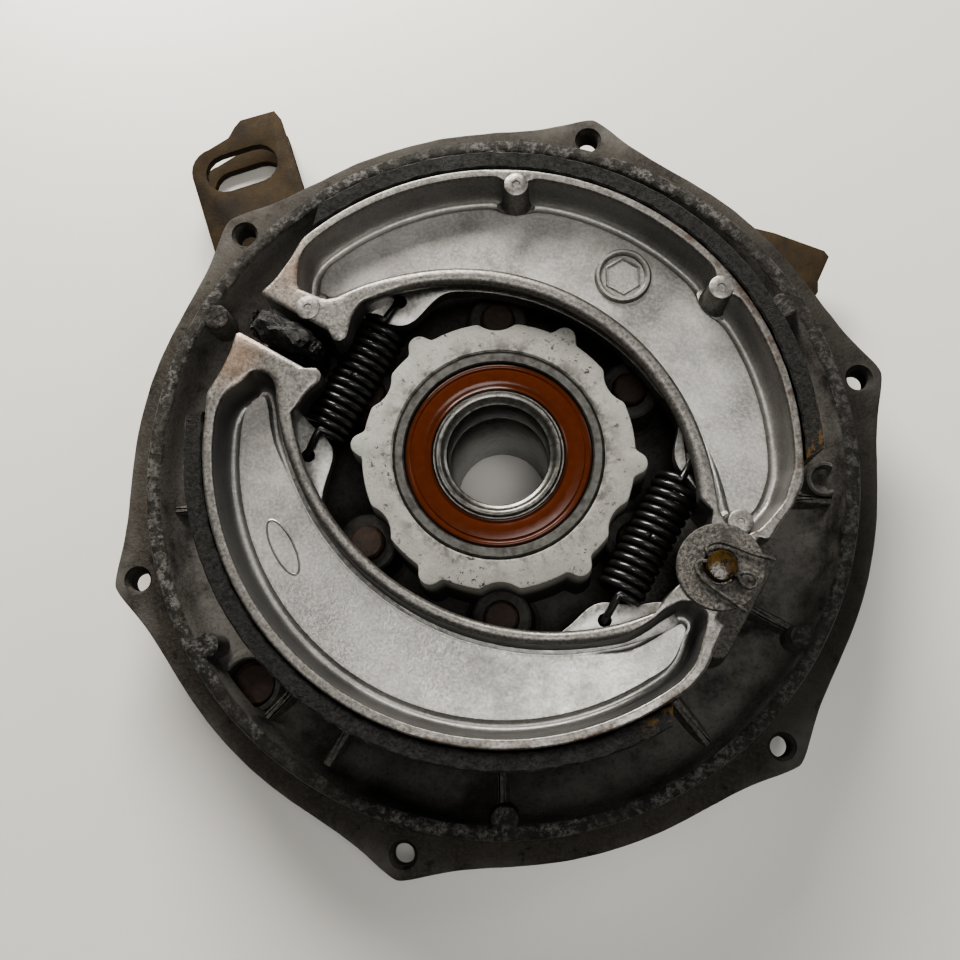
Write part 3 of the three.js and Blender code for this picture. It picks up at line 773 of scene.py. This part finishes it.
def ribs():
    parts = []
    for angle, inner, outer in RIBS:
        corners = polyline([outer, -RIB_HALF_WIDTH], [outer, RIB_HALF_WIDTH],
                           [inner, RIB_HALF_WIDTH], [inner, -RIB_HALF_WIDTH])
        loop = relax(resample(corners, 160, closed=True), 2)
        vertices, faces = slab(loop, 25, 32.6, 0.8, draft=1.8)
        parts.append((turn_z(vertices, math.radians(angle)), faces))
    return join(*parts)


def anchor_boss():
    """A block with round corners under the anchor pin."""
    outline = polyline(
        arc(78.6, 14.5, 3.5, 80, 0, 8)[::-1], arc(57.5, 14.5, 4, 90, 180, 8),
        arc(57.5, -14.5, 4, 180, 270, 8), arc(78.6, -14.5, 3.5, 280, 360, 8))
    return slab(resample(outline, 240, closed=True), 24, 44, 0.8, draft=2.0)


def bosses():
    """Tubes round the bolts, studs by the ring, the drain plug's seat, a small boss and the cam's boss."""
    tube = [(5.1, 20), (12.5, 32), (9.8, 34.5), (8.7, 40), (8.4, 48.8), (7.7, 49.5), (5.1, 49.5)]
    seat = [(PLUG_R, 20), (11.5, 27), (10, 29.5), (9.4, 31.2), (8.8, 31.8), (7.8, 31.8), (PLUG_R, 31.2)]
    small = [(1.8, 26), (6.6, 27.5), (5.7, 30), (5.3, 33.2), (4.7, 33.8), (4.1, 33.8), (3.7, 33.2),
             (3.4, 31), (1.8, 30.6)]
    cam_seat = [(7.4, 20), (16, 29), (13.6, 33), (13, 41.8), (12.3, 42.5), (7.4, 42.5)]
    parts = [turned(tube, 48, *polar(BOLT_PITCH_R, angle)) for angle in BOLT_ANGLES]
    parts += [rough_top(*polar(STUD_PITCH_R, angle), STUD_R, 28, 41.4) for angle in BOLT_ANGLES]
    parts.append(turned(seat, 48, *PLUG))
    parts.append(turned(small, 40, 96.2, -2.1))
    vertices, faces = turned(cam_seat, 64, CAM_X)
    parts.append((turn_z(vertices, SHOE_LINE), faces))
    return join(*parts)


def back():
    """The panel's underside and the rear hub that it stands on."""
    profile = [(26.3, 8), (26.3, 1), (27, 0.1), (32.8, 0.1), (33.5, 0.9), (33.5, 15.5),
               (35, PANEL_BACK_Z), (60, PANEL_BACK_Z), (64, 20.5), (104, 21.2), (104, 24),
               (60, 30), (26.3, 30)]
    return turned(profile, 160)


def panel():
    dish = make("panel_dish", *flange(), PANEL, "panel", ["brake_panel"])
    cut(dish, *panel_holes())
    make("panel_ribs", *ribs(), BOSS, "panel")
    make("anchor_boss", *anchor_boss(), BOSS, "panel", (), SHOE_LINE)
    make("panel_bosses", *bosses(), PANEL, "panel")
    underside = make("panel_back_and_rear_hub", *back(), PANEL, "panel")
    cut(underside, *plug_hole())


def hub():
    """The hub's outside, its face and the bearing's seat."""
    outline = hub_outline()
    count = len(outline)
    loops = [
        at_height(inward(outline, -1.2), 33),
        at_height(outline, HUB_FACE_Z - 0.7),
        at_height(inward(outline, 0.2), HUB_FACE_Z - 0.2),
        at_height(inward(outline, 0.7), HUB_FACE_Z),
        circle(BEARING_R + 0.7, HUB_FACE_Z, count),
        circle(BEARING_R + 0.2, HUB_FACE_Z - 0.5, count),
        circle(BEARING_R + 0.2, BEARING_BOTTOM_Z - 0.4, count),
        circle(25.5, BEARING_BOTTOM_Z - 0.4, count),
        circle(25.5, 8.0, count),
    ]
    make("hub", *loft(loops), HUB, "panel")


panel()
hub()

# ------ bearing


def bearing():
    top, foot = BEARING_TOP_Z, BEARING_BOTTOM_Z
    outer_ring = [(25.9, foot + 0.6), (28.5, foot), (BEARING_R, foot + 0.6), (BEARING_R, top - 0.7),
                  (28.4, top), (26.4, top), (26, top - 0.4), (25.9, top - 1.2)]
    make("bearing_outer", *turned(outer_ring, 192), OUTER_STEEL, "panel", ["bearing_outer_ring"])
    inner_ring = [(14, foot + 0.6), (14.5, foot), (18, foot), (18, top - 0.9), (17.6, top - 0.9),
                  (17.4, top - 0.3), (17, top), (16.2, top), (15.8, top - 0.25), (15.4, top - 0.9),
                  (14.9, top - 1.3), (14.3, top - 1.5), (14, top - 2.2)]
    make("bearing_inner", *turned(inner_ring, 160), STEEL, "axle_sleeve", ["bearing_inner_ring"])
    seal = [(18.15, top - 2.2), (25.85, top - 2.2), (25.85, top - 1.0), (25.5, top - 0.7), (24.9, top - 0.55),
            (24.4, top - 0.65), (24.2, top - 0.85), (23.9, top - 0.85), (23.6, top - 0.6), (21.6, top - 0.45),
            (20.2, top - 0.5), (19.6, top - 0.75), (19.2, top - 0.85), (18.8, top - 0.6), (18.4, top - 0.55),
            (18.15, top - 0.9)]
    make("front_seal", *turned(seal, 160), RED, "panel", ["bearing_front_seal"])


bearing()

# ------ shoes


def wider(circle_arc, extra, start, end, count=160):
    """Points on an arc that is given as its centre and radius, at a greater radius."""
    x, y, radius = circle_arc
    return arc(x, y, radius + extra, start, end, count)


def round_shoe(radius, angles):
    """Points about the shoes' centre."""
    x, y = SHOE_CENTRE
    return np.column_stack([x + radius * np.cos(angles), y + radius * np.sin(angles)])


def tray_with_pads():
    """The upper shoe's tray, as four joined edges. It bulges a little where the pads stand."""
    degrees = np.linspace(158.5, 26.5, 700)
    radius = np.full(len(degrees), TRAY_R)
    for x, y in OUTER_PADS:
        at = math.degrees(math.atan2(y - SHOE_CENTRE[1], x - SHOE_CENTRE[0]))
        aside = np.abs(np.radians(degrees - at)) * TRAY_R
        radius -= 2.2 * (1 - ramp(aside, 1.5, 5.8))
    outer = polyline([-71.3, 13.4], [-73.6, 17.6], [-74.5, 21], [-74.6, 24.5],
                     round_shoe(radius, np.radians(degrees)), [73.2, 24])
    anchor = polyline([71.8, 17.4], [70.8, 14], [68.8, 11.7], [65.7, 10.9], [62.4, 11.5])
    inner = polyline([59.4, 13.6], wider(UPPER_ARC, BEAD_WIDTH, 31.5, 148))
    cam = polyline([-61.9, 13.6], [-63.2, 13.2], [-65.2, 13.1], [-68, 12.8], [-70, 12.6])
    return outer, anchor, inner, cam


def plain_tray():
    """The lower shoe's tray, as four joined edges, with plain round ends."""
    outer = polyline([-70.6, 18.4], [-72.1, 21.8], [-72.4, 25], [-71.4, 29.6],
                     arc(*SHOE_CENTRE, TRAY_R - 1.3, 150.5, 25, 300), [72.3, 26])
    anchor = polyline([72, 22.6], [71, 18], [70.2, 14.6], [68.6, 12.2], [64.5, 11.4], [61.6, 13])
    inner = polyline([58.9, 17.6], [57.4, 21.4], wider(LOWER_ARC, LOWER_BEAD_WIDTH, 46, 145.5))
    cam = polyline([-61.2, 14.4], arc(-65.4, 17.4, 4.9, -35, -140, 12))
    return outer, anchor, inner, cam


EDGE_STEPS = (420, 90, 320, 90)
INNER_START = sum(EDGE_STEPS[:2])
INNER_END = sum(EDGE_STEPS[:3])


def joined(edges):
    """A closed loop from four edges, each with its own number of steps up to the next one's start."""
    loop = []
    for edge, following, steps in zip(edges, edges[1:] + edges[:1], EDGE_STEPS):
        loop.append(resample(np.vstack([edge, following[:1]]), steps + 1)[:-1])
    return np.vstack(loop)


def shoe_loops(tray_parts, rim_r, inner_arc, inner_ends):
    """The shoe's outline, the edge of its tray and the tray's middle line, with matching points."""
    outer = polyline([-78.8, 6.8], [-77.4, 11.5], [-76.7, 18.5], [-76.9, 25.5],
                     arc(*SHOE_CENTRE, rim_r, 158.5, 23.5, 200), [75.7, 24])
    anchor_cap = polyline([74.8, 17.5], [74.7, 12.7], [71.6, 12.2], [71.5, 9.4],
                          arc(ANCHOR_X, 0, PIVOT_R, 50, 130, 14), [60, 7.3])
    inner = polyline([59, 9.5], [58.2, 12.4], wider(inner_arc, 0, *inner_ends), [-53.1, 15.6],
                     [-53.2, 12.6])
    cam_cap = polyline([-52.3, 9.6], [-51.5, 7.2], [-52.3, 5.2], [-54.3, 4.5], [-57, LAND_Y],
                       [-78, LAND_Y])
    outline = relax(joined((outer, anchor_cap, inner, cam_cap)), 4)
    tray = relax(joined(tray_parts), 5)
    middle_a = resample(arc(*SHOE_CENTRE, TRAY_R, 156, 30, 300), 300)
    middle_b = resample(wider(inner_arc, BEAD_WIDTH, 147, 35, 300), 300)
    spine = resample(polyline([-66.5, 18.6], (middle_a + middle_b) / 2, [66.2, 18.4]), 260)
    gap = ((tray[:, None, :] - spine[None, :, :]) ** 2).sum(2)
    return outline, tray, spine[gap.argmin(1)]


def column(x, y, foot):
    """A round pad on the shoe's rim, which runs down the tray's wall to its foot."""
    top = SHOE_TOP_Z + 0.25
    on_floor = foot < SHOE_FLOOR_Z
    flare = [(PAD_R + 2.2, foot), (PAD_R + 1.1, foot + 0.5), (PAD_R + 0.45, foot + 1.6)] if on_floor else []
    shank = [(PAD_R + 0.2, max(foot, 66.0)), (PAD_R, top - 0.5), (PAD_R - 0.12, top - 0.15),
             (PAD_R - 0.4, top)]
    dimple = [(1.1, top), (0.95, top - 0.2), (AXIS_R, top - 0.2)]
    return turned(flare + shank + dimple, 56, x, y, closed=False)


def shoe_body(which, tray_parts, rim_r, inner_arc, inner_ends):
    """A shoe as one lofted skin: up the outer wall, over the rim and down into the tray. Both shoes are
    worked out above the shoe line, and the lower one is then mirrored."""
    side = SIDES[which]
    outline, tray, spine = shoe_loops(tray_parts, rim_r, inner_arc, inner_ends)
    count = len(outline)
    span = tray - outline
    across = unit(span)
    reach = np.linalg.norm(spine - tray, axis=1)
    down = unit(relax((spine - tray) / reach[:, None], 60))
    index = np.arange(count)
    inner_side = ramp(index, INNER_START + 5, INNER_START + 50)
    inner_side = inner_side * (1 - ramp(index, INNER_END - 60, INNER_END - 15))
    narrow = 0.66 - 0.32 * inner_side
    bottom = np.where(np.hypot(outline[:, 0], outline[:, 1]) < SKIRT_R, SKIRT_Z, SHOE_BOTTOM_Z)

    loops, rim, wall = [], [], []

    # The third number of each row is a share of the rim's tone, the fourth a share of painted shade on the
    # walls.
    def add(points, z, on_rim, wall_shade):
        height = z if np.ndim(z) else np.full(count, z)
        loops.append(np.column_stack([points, height]))
        rim.append(on_rim)
        wall.append(wall_shade)

    def tucked(amount):
        """The outline, drawn in along the shoe's inner edge."""
        return outline + across * (amount * inner_side)[:, None]

    def in_tray(amount):
        """The tray's edge moved down the tray's wall towards the middle line, and smoothed."""
        reached = relax(np.minimum(amount * narrow, 0.75 * reach)[:, None], 60)
        return relax(tray + down * reached, int(6 * amount))

    add(tucked(3.4), bottom, 0.0, 0.6)
    add(tucked(3.4), 63.0, 0.0, 0.6)
    add(tucked(3.2), 67.6, 0.0, 0.9)
    add(tucked(1.4), 68.8, 0.0, 0.6)
    add(tucked(0.2), 70.2, 0.3, 0.3)
    add(tucked(0.0), 71.5 - 0.3 * inner_side, 0.6, 0.0)
    for share in (0.0, 0.05, 0.12, 0.22, 0.35, 0.5, 0.65, 0.78, 0.88, 0.95, 1):
        edge = abs(2 * share - 1)
        drop = 0.5 * edge**8 + inner_side * (0.9 * edge**2.5)
        add(outline + span * share, SHOE_TOP_Z - drop, 1.0, 0.0)
    add(in_tray(0.15), 72.6 - 0.8 * inner_side, 0.5, 0.6)
    add(in_tray(0.5), 70.5, 0.0, 1.0)
    add(in_tray(1.2), 66.5, 0.0, 1.0)
    add(in_tray(1.9), 63.9, 0.0, 1.0)
    for amount, groove, on_rim, wall_shade in (  # a shallow groove along the foot of the wall
        (2.5, -0.2, 0.0, 0.8), (3.3, 0.6, 0.0, 0.5), (4.3, 1, 0.0, 0.35), (5.6, 1, 0.0, 0.3),
        (6.4, 0.7, 0.0, 0.15), (6.9, 0.2, 0.4, 0.0), (7.3, 0.0, 0.5, 0.0),
    ):
        add(in_tray(amount), SHOE_FLOOR_Z - groove * (1 - inner_side), on_rim, wall_shade)
    add(in_tray(8.3), SHOE_FLOOR_Z, 0.0, 0.0)
    vertices, faces = loft(loops, cap_last=True)
    from_centre = np.hypot(vertices[:, 0], vertices[:, 1] - SHOE_CENTRE[1])
    columns = {
        "rim": np.repeat(rim, count),
        # Painted shade on the walls; the upper shoe's walls get about a third of it.
        "wall": np.repeat(wall, count) * (0.35 if side > 0 else 1.0),
        "rust": (1 - ramp(vertices[:, 0], -76, -62)) * (1 - ramp(vertices[:, 1], 14, 30)),
        "streak": ramp(vertices[:, 0], 5, 20) * ramp(from_centre, 79.5, 81),
    }
    parts = [(vertices, faces)]

    def extra(part, on_rim):
        parts.append(part)
        for key in columns:
            amount = on_rim if key == "rim" else 0.0
            columns[key] = np.concatenate([columns[key], np.full(len(part[0]), amount)])

    if side > 0:
        for x, y in (*OUTER_PADS, ANCHOR_PAD):
            extra(column(x, y, 61.6), 0.8)
        extra(column(*CAM_PAD, 72.0), 0.9)
        boss = [(8.3, 61), (8, 63.2), (7.5, 63.9), (6.8, 63.9), (6.3, 63.5), (6.1, 62.7), (0.1, 62.7)]
        extra(turned(boss, 64, *BOSS_CENTRE, closed=False), 0.35)
        hexagon = resample(circle(5.2, 0, 6, *BOSS_CENTRE)[:, :2], 120, closed=True)
        extra(sweep(at_height(hexagon, 62.8), 0.4, 6, closed=True), 0.5)
    else:
        oval = circle(1.0, SHOE_FLOOR_Z, 72) * np.array([8.4, 2.9, 1])
        oval = turn_z(oval, math.radians(33)) + np.array([-39.3, 50.9, 0])
        extra(sweep(oval, 0.35, 6, closed=True), 0.5)
    vertices, faces = join(*parts)
    vertices[:, 1] *= side
    name, body = f"{which}_shoe_casting", f"{which}_shoe_body"
    make(name, vertices, faces, SHOE, body, [f"{which}_shoe"], SHOE_LINE, 32, columns)
    web_ears(name, side, body, inner_arc)


def web_ears(name, side, body, inner_arc):
    """The web's inner edge, with the two ears that the springs hook into."""
    front = polyline([58.5, 13], [53, 17.4], [48.5, 19.8], [45.6, 20.5], [43.3, 21.8], [41.6, 24.2],
                     [40.6, 27.5], [39.4, 32], [36.6, 37],
                     wider(inner_arc, 1.4, 60, 121, 90),
                     [-37.2, 33.5], [-38.3, 30], [-39, 26.5], [-39.8, 22.5], [-41.8, 19.6], [-44.5, 18.5],
                     [-49.5, 17.8], [-54, 16])
    front = resample(front, 300)
    for _ in range(14):
        front[1:-1] = (front[:-2] + 2 * front[1:-1] + front[2:]) / 4
    back = wider(inner_arc, 5.5, 147, 34, 300)
    loop = relax(resample(np.vstack([front, back])[::-1], 480, closed=True), 12)
    vertices, faces = slab(loop, 57.2, 62.6, 0.25)
    vertices[:, 1] *= side
    plate = make(f"{name}_ears", vertices, faces, SHOE_WEB, body, (), SHOE_LINE, 32)
    drill = [(AXIS_R, 56), (EYE_R, 56), (EYE_R, 64), (AXIS_R, 64)]
    vertices, faces = join(*(turned(drill, 24, x, side * EYE_Y, closed=False) for x in (CAM_EYE_X, EYE_X)))
    cut(plate, turn_z(vertices, SHOE_LINE), faces)


shoe_body("upper", tray_with_pads(), 82.0, UPPER_ARC, (33, 143.2))
shoe_body("lower", plain_tray(), 81.2, LOWER_ARC, (38.5, 140.5))


def lining(which, inner_r, outer_r, outer_start):
    """A strip bonded round a shoe, with ends cut at a slant."""
    count = 420
    fraction = np.linspace(0, 1, count)
    outer = np.radians(outer_start + (30.5 - outer_start) * fraction)
    inner = np.radians(157 + (28.5 - 157) * fraction)
    wobble = 0.12 * np.sin(fraction * 190) + 0.1 * np.sin(fraction * 71 + 1)

    def row(radius, share, z):
        a = inner + (outer - inner) * share
        return at_height(round_shoe(radius, a), z)

    rows = [
        row(inner_r, 0.0, 46.2),
        row(outer_r - 0.5, 0.9, 46.0),
        row(outer_r, 1.0, 46.8),
        row(outer_r + 0.3 * wobble, 1.0, 71.8),
        row(outer_r - 0.5 + wobble, 0.95, 72.5),
        row(inner_r + 0.5 + wobble, 0.05, 72.6),
        row(inner_r + wobble, 0.0, 72.1),
    ]
    vertices, faces = loft(rows, ring=False)
    cap = len(rows)
    faces.append(tuple(k * count for k in range(cap)))
    faces.append(tuple(k * count + count - 1 for k in range(cap))[::-1])
    ends = np.tile(ramp(fraction, 0.93, 0.99), cap)
    vertices[:, 1] *= SIDES[which]
    name, body = f"{which}_lining_strip", f"{which}_shoe_body"
    make(name, vertices, faces, LINING, body, [f"{which}_lining"], SHOE_LINE, SHARP, {"amber": ends})


lining("upper", 82.9, 88.0, 153.5)
lining("lower", 81.7, 86.8, 156)

# ------ anchor


def anchor():
    pin = [(AXIS_R, 31), (7, 31), (7, 74), (4.05, 74), (4.05, 78.4), (3.7, 79), (2.6, 79.2),
           (AXIS_R, 79.25)]
    shank = turned(pin, 64, ANCHOR_X, closed=False)
    make("anchor_pin_end", *shank, OILED, "panel", ["anchor_pin"], SHOE_LINE)
    disc = [(4.6, 74.3), (11.3, 74.3), (11.5, 74.5), (11.5, 75.6), (11.2, 75.9), (4.9, 75.9), (4.6, 75.6)]
    make("anchor_washer_disc", *turned(disc, 96, ANCHOR_X), WASHER, "panel", ["anchor_washer"], SHOE_LINE)


def split_pin():
    """Two legs that are bent round the anchor pin, and the eye between them."""
    z = 77.2
    first = [(5.4, 0.3, z), (3, 0.3, z), (-2, 0.4, z), (-5, 1.4, z), (-5.6, 3, z), (-3.5, 5.2, z),
             (0.5, 6.2, z), (5.5, 6.8, z), (11.4, 8.2, z)]
    second = [(5.4, -0.3, z), (3, -0.3, z), (-2, -0.4, z), (-5.2, -1.4, z), (-5.4, -3.6, z), (-2, -5.6, z),
              (4, -6.4, z), (10.9, -7.4, z)]
    loop = [(5.2, 0.5, z), (6.4, 1.6, z), (8.2, 1.9, z), (9.8, 0.9, z), (10, -0.6, z), (8.6, -1.8, z),
            (6.6, -1.5, z), (5.2, -0.4, z)]
    legs = [sweep(smooth_path(points, 90), 0.55, 8) for points in (first, second)]
    vertices, faces = join(*legs, sweep(smooth_path(loop, 60), 0.5, 8))
    vertices[:, 0] += ANCHOR_X
    make("split_pin", vertices, faces, GRIMY, "panel", ["anchor_split_pin"], SHOE_LINE)


anchor()
split_pin()

# ------ cam


def cam():
    """A flat cam between the shoes, rough with baked grease and rust."""
    blade = lump(CAM_X + 0.3, 0.6, 66.0, 10.4, 4.6, 8.4, 0.13, 0.3)
    collar_profile = [(AXIS_R, 38), (8.7, 42.8), (8.7, 44), (8.2, 44.5), (AXIS_R, 44.5)]
    shaft_profile = [(AXIS_R, 1), (6.4, 1), (7, 1.6), (7, 58), (AXIS_R, 58)]
    collar, shaft = (turned(p, 64, CAM_X, closed=False) for p in (collar_profile, shaft_profile))
    caked = (
        lump(-58.6, 0.5, 65, 2.9, 2.8, 7.6, 0.15, 0.4),
        lump(-62.4, -3.6, 62, 2.6, 1.2, 6.0, 0.3, 0.5),
        lump(-77.0, 0.2, 63, 2.4, 3.0, 7.0, 0.35, 0.5),
    )
    make("camshaft_body", *join(blade, collar, shaft, *caked), CAM_GREASE, "cam", ["camshaft"], SHOE_LINE)


cam()

# ------ springs


def spring(name, x, node):
    """Made in two halves, which meet at the coil's middle. Each runs from there to the hook in its own shoe.
    """
    t = np.linspace(0, 1, COILS * STEPS_PER_COIL + 1)
    angle = 2 * math.pi * COILS * t
    along = (t - 0.5) * COILS * PITCH
    coil = np.column_stack([SPRING_R * np.sin(angle), along, SPRING_R * np.cos(angle)])
    start = COILS * PITCH / 2

    def hook(end):
        top = WEB_TOP_Z - SPRING_Z + 1.5
        points = ((start, SPRING_R), (start + 1.8, SPRING_R * 0.95), (start + 4.2, top + 1.2),
                  (EYE_Y - 1.2, top), (EYE_Y + 0.2, top - 1.2), (EYE_Y + 0.3, -2))
        return smooth_path([(0, end * y, z) for y, z in points], 40)

    middle = len(coil) // 2
    halves = (
        (1, np.vstack([coil[middle:], hook(1)[1:]]), "upper_shoe_body"),
        (-1, np.vstack([hook(-1)[::-1][:-1], coil[: middle + 1]]), "lower_shoe_body"),
    )
    for end, path, shoe_name in halves:
        vertices, faces = sweep(path, WIRE_R, 12)
        mesh = mesh_of(name, turn_z(vertices + np.array([x, 0, SPRING_Z]), SHOE_LINE), faces)
        mesh.shade_smooth()
        piece = add_object(f"{name}_{'upper' if end > 0 else 'lower'}_half", mesh)
        slot, material = SPRING
        mesh.materials.append(material)
        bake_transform(piece)
        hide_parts(node)


spring("cam_spring", CAM_EYE_X - 0.2, "cam_side_spring")
spring("anchor_spring", EYE_X, "anchor_side_spring")

# ------ plate, bolts, and the rear parts

FINISHED = (
    ("mounting_plate", RUST, "panel", 0.5),
    ("lower_slotted_lug", RUST, "panel", 0.5),
    ("drain_plug", DARK_RUST, "panel", 0.4),
    ("bearing_rear_seal", RED, "panel", 0.2),
    ("rear_oil_seal", BLACK_RUBBER, "panel", 0.4),
    ("camshaft_dust_seal", BLACK_RUBBER, "panel", 0.4),
    ("axle_spacer", STEEL, "axle_sleeve", 0.4),
    ("bearing_balls_and_cage", STEEL, "ball_cage", 0.1),
    ("brake_arm", RUST, "cam", 0.6),
    ("arm_pinch_bolt", PLATED, "cam", 0.3),
    ("arm_pinch_nut", PLATED, "cam", 0.3),
    ("wear_pointer", PLATED, "cam", 0.3),
    *((f"mounting_bolt_{i}", DARK_RUST, "panel", 0.4) for i in range(1, 7)),
)
for entry in FINISHED:
    refined(*entry)

# ------ floor, light and camera


def floor():
    n = Nodes("pale_table")
    base = n.mix(n.noise(2.2, 2, 0.4), (0.6, 0.585, 0.55), (0.66, 0.645, 0.61))
    _, material = n.finish("floor", base, 0.32, 0.0)
    bpy.ops.mesh.primitive_plane_add(size=6.0, location=(0, 0, 0))
    plane = bpy.context.object
    plane.name = "table_top"
    plane.data.materials.append(material)


def area_light(name, place, size, power, tint):
    aim = (0, 0, 0.03)
    data = bpy.data.lights.new(name, "AREA")
    data.shape = "RECTANGLE"
    data.size, data.size_y = size
    data.energy = power
    data.color = tint
    light = add_object(name, data)
    light.location = place
    light.rotation_euler = (Vector(aim) - Vector(place)).to_track_quat("-Z", "Y").to_euler()


def sky():
    """Soft light from above that fades towards the horizon."""
    world = bpy.data.worlds.new("studio")
    world.use_nodes = True
    tree = world.node_tree
    direction = tree.nodes.new("ShaderNodeTexCoord")
    split = tree.nodes.new("ShaderNodeSeparateXYZ")
    tree.links.new(direction.outputs["Generated"], split.inputs["Vector"])
    fade = tree.nodes.new("ShaderNodeMapRange")
    for key, value in (("From Min", -0.1), ("From Max", 1.0), ("To Min", 0.12), ("To Max", 0.22)):
        fade.inputs[key].default_value = value
    tree.links.new(split.outputs["Z"], fade.inputs["Value"])
    background = tree.nodes["Background"]
    background.inputs["Color"].default_value = (1.0, 0.985, 0.955, 1)
    tree.links.new(fade.outputs["Result"], background.inputs["Strength"])
    bpy.context.scene.world = world


floor()
sky()
LIGHTS = (  # name, place in metres, size, watts, colour
    ("key", (-0.2, 0.68, 0.5), (0.55, 0.3), 15.5, (1.0, 0.965, 0.91)),
    ("second", (0.75, 0.4, 0.75), (0.3, 0.4), 1.7, (0.98, 0.99, 1.0)),
    ("overhead", (0.1, -0.12, 1.3), (0.4, 0.32), 5.4, (1.0, 0.98, 0.95)),
)
for entry in LIGHTS:
    area_light(*entry)

bpy.context.scene.view_settings.look = "AgX - Medium High Contrast"
camera_data = bpy.data.cameras.new("camera")
camera_data.sensor_width = 36
camera_data.lens = 46.875
camera = add_object("camera", camera_data)
roll, tilt, lean = -0.95, 11.17, 2.0
turn = (
    Matrix.Rotation(math.radians(roll), 4, "Z")
    @ Matrix.Rotation(math.radians(tilt), 4, "X")
    @ Matrix.Rotation(math.radians(lean), 4, "Y")
)
eye = np.array([5.7, -73.5, 400.4]) * MM + AXLE
camera.matrix_world = Matrix.Translation(Vector(eye)) @ turn
bpy.context.scene.camera = camera
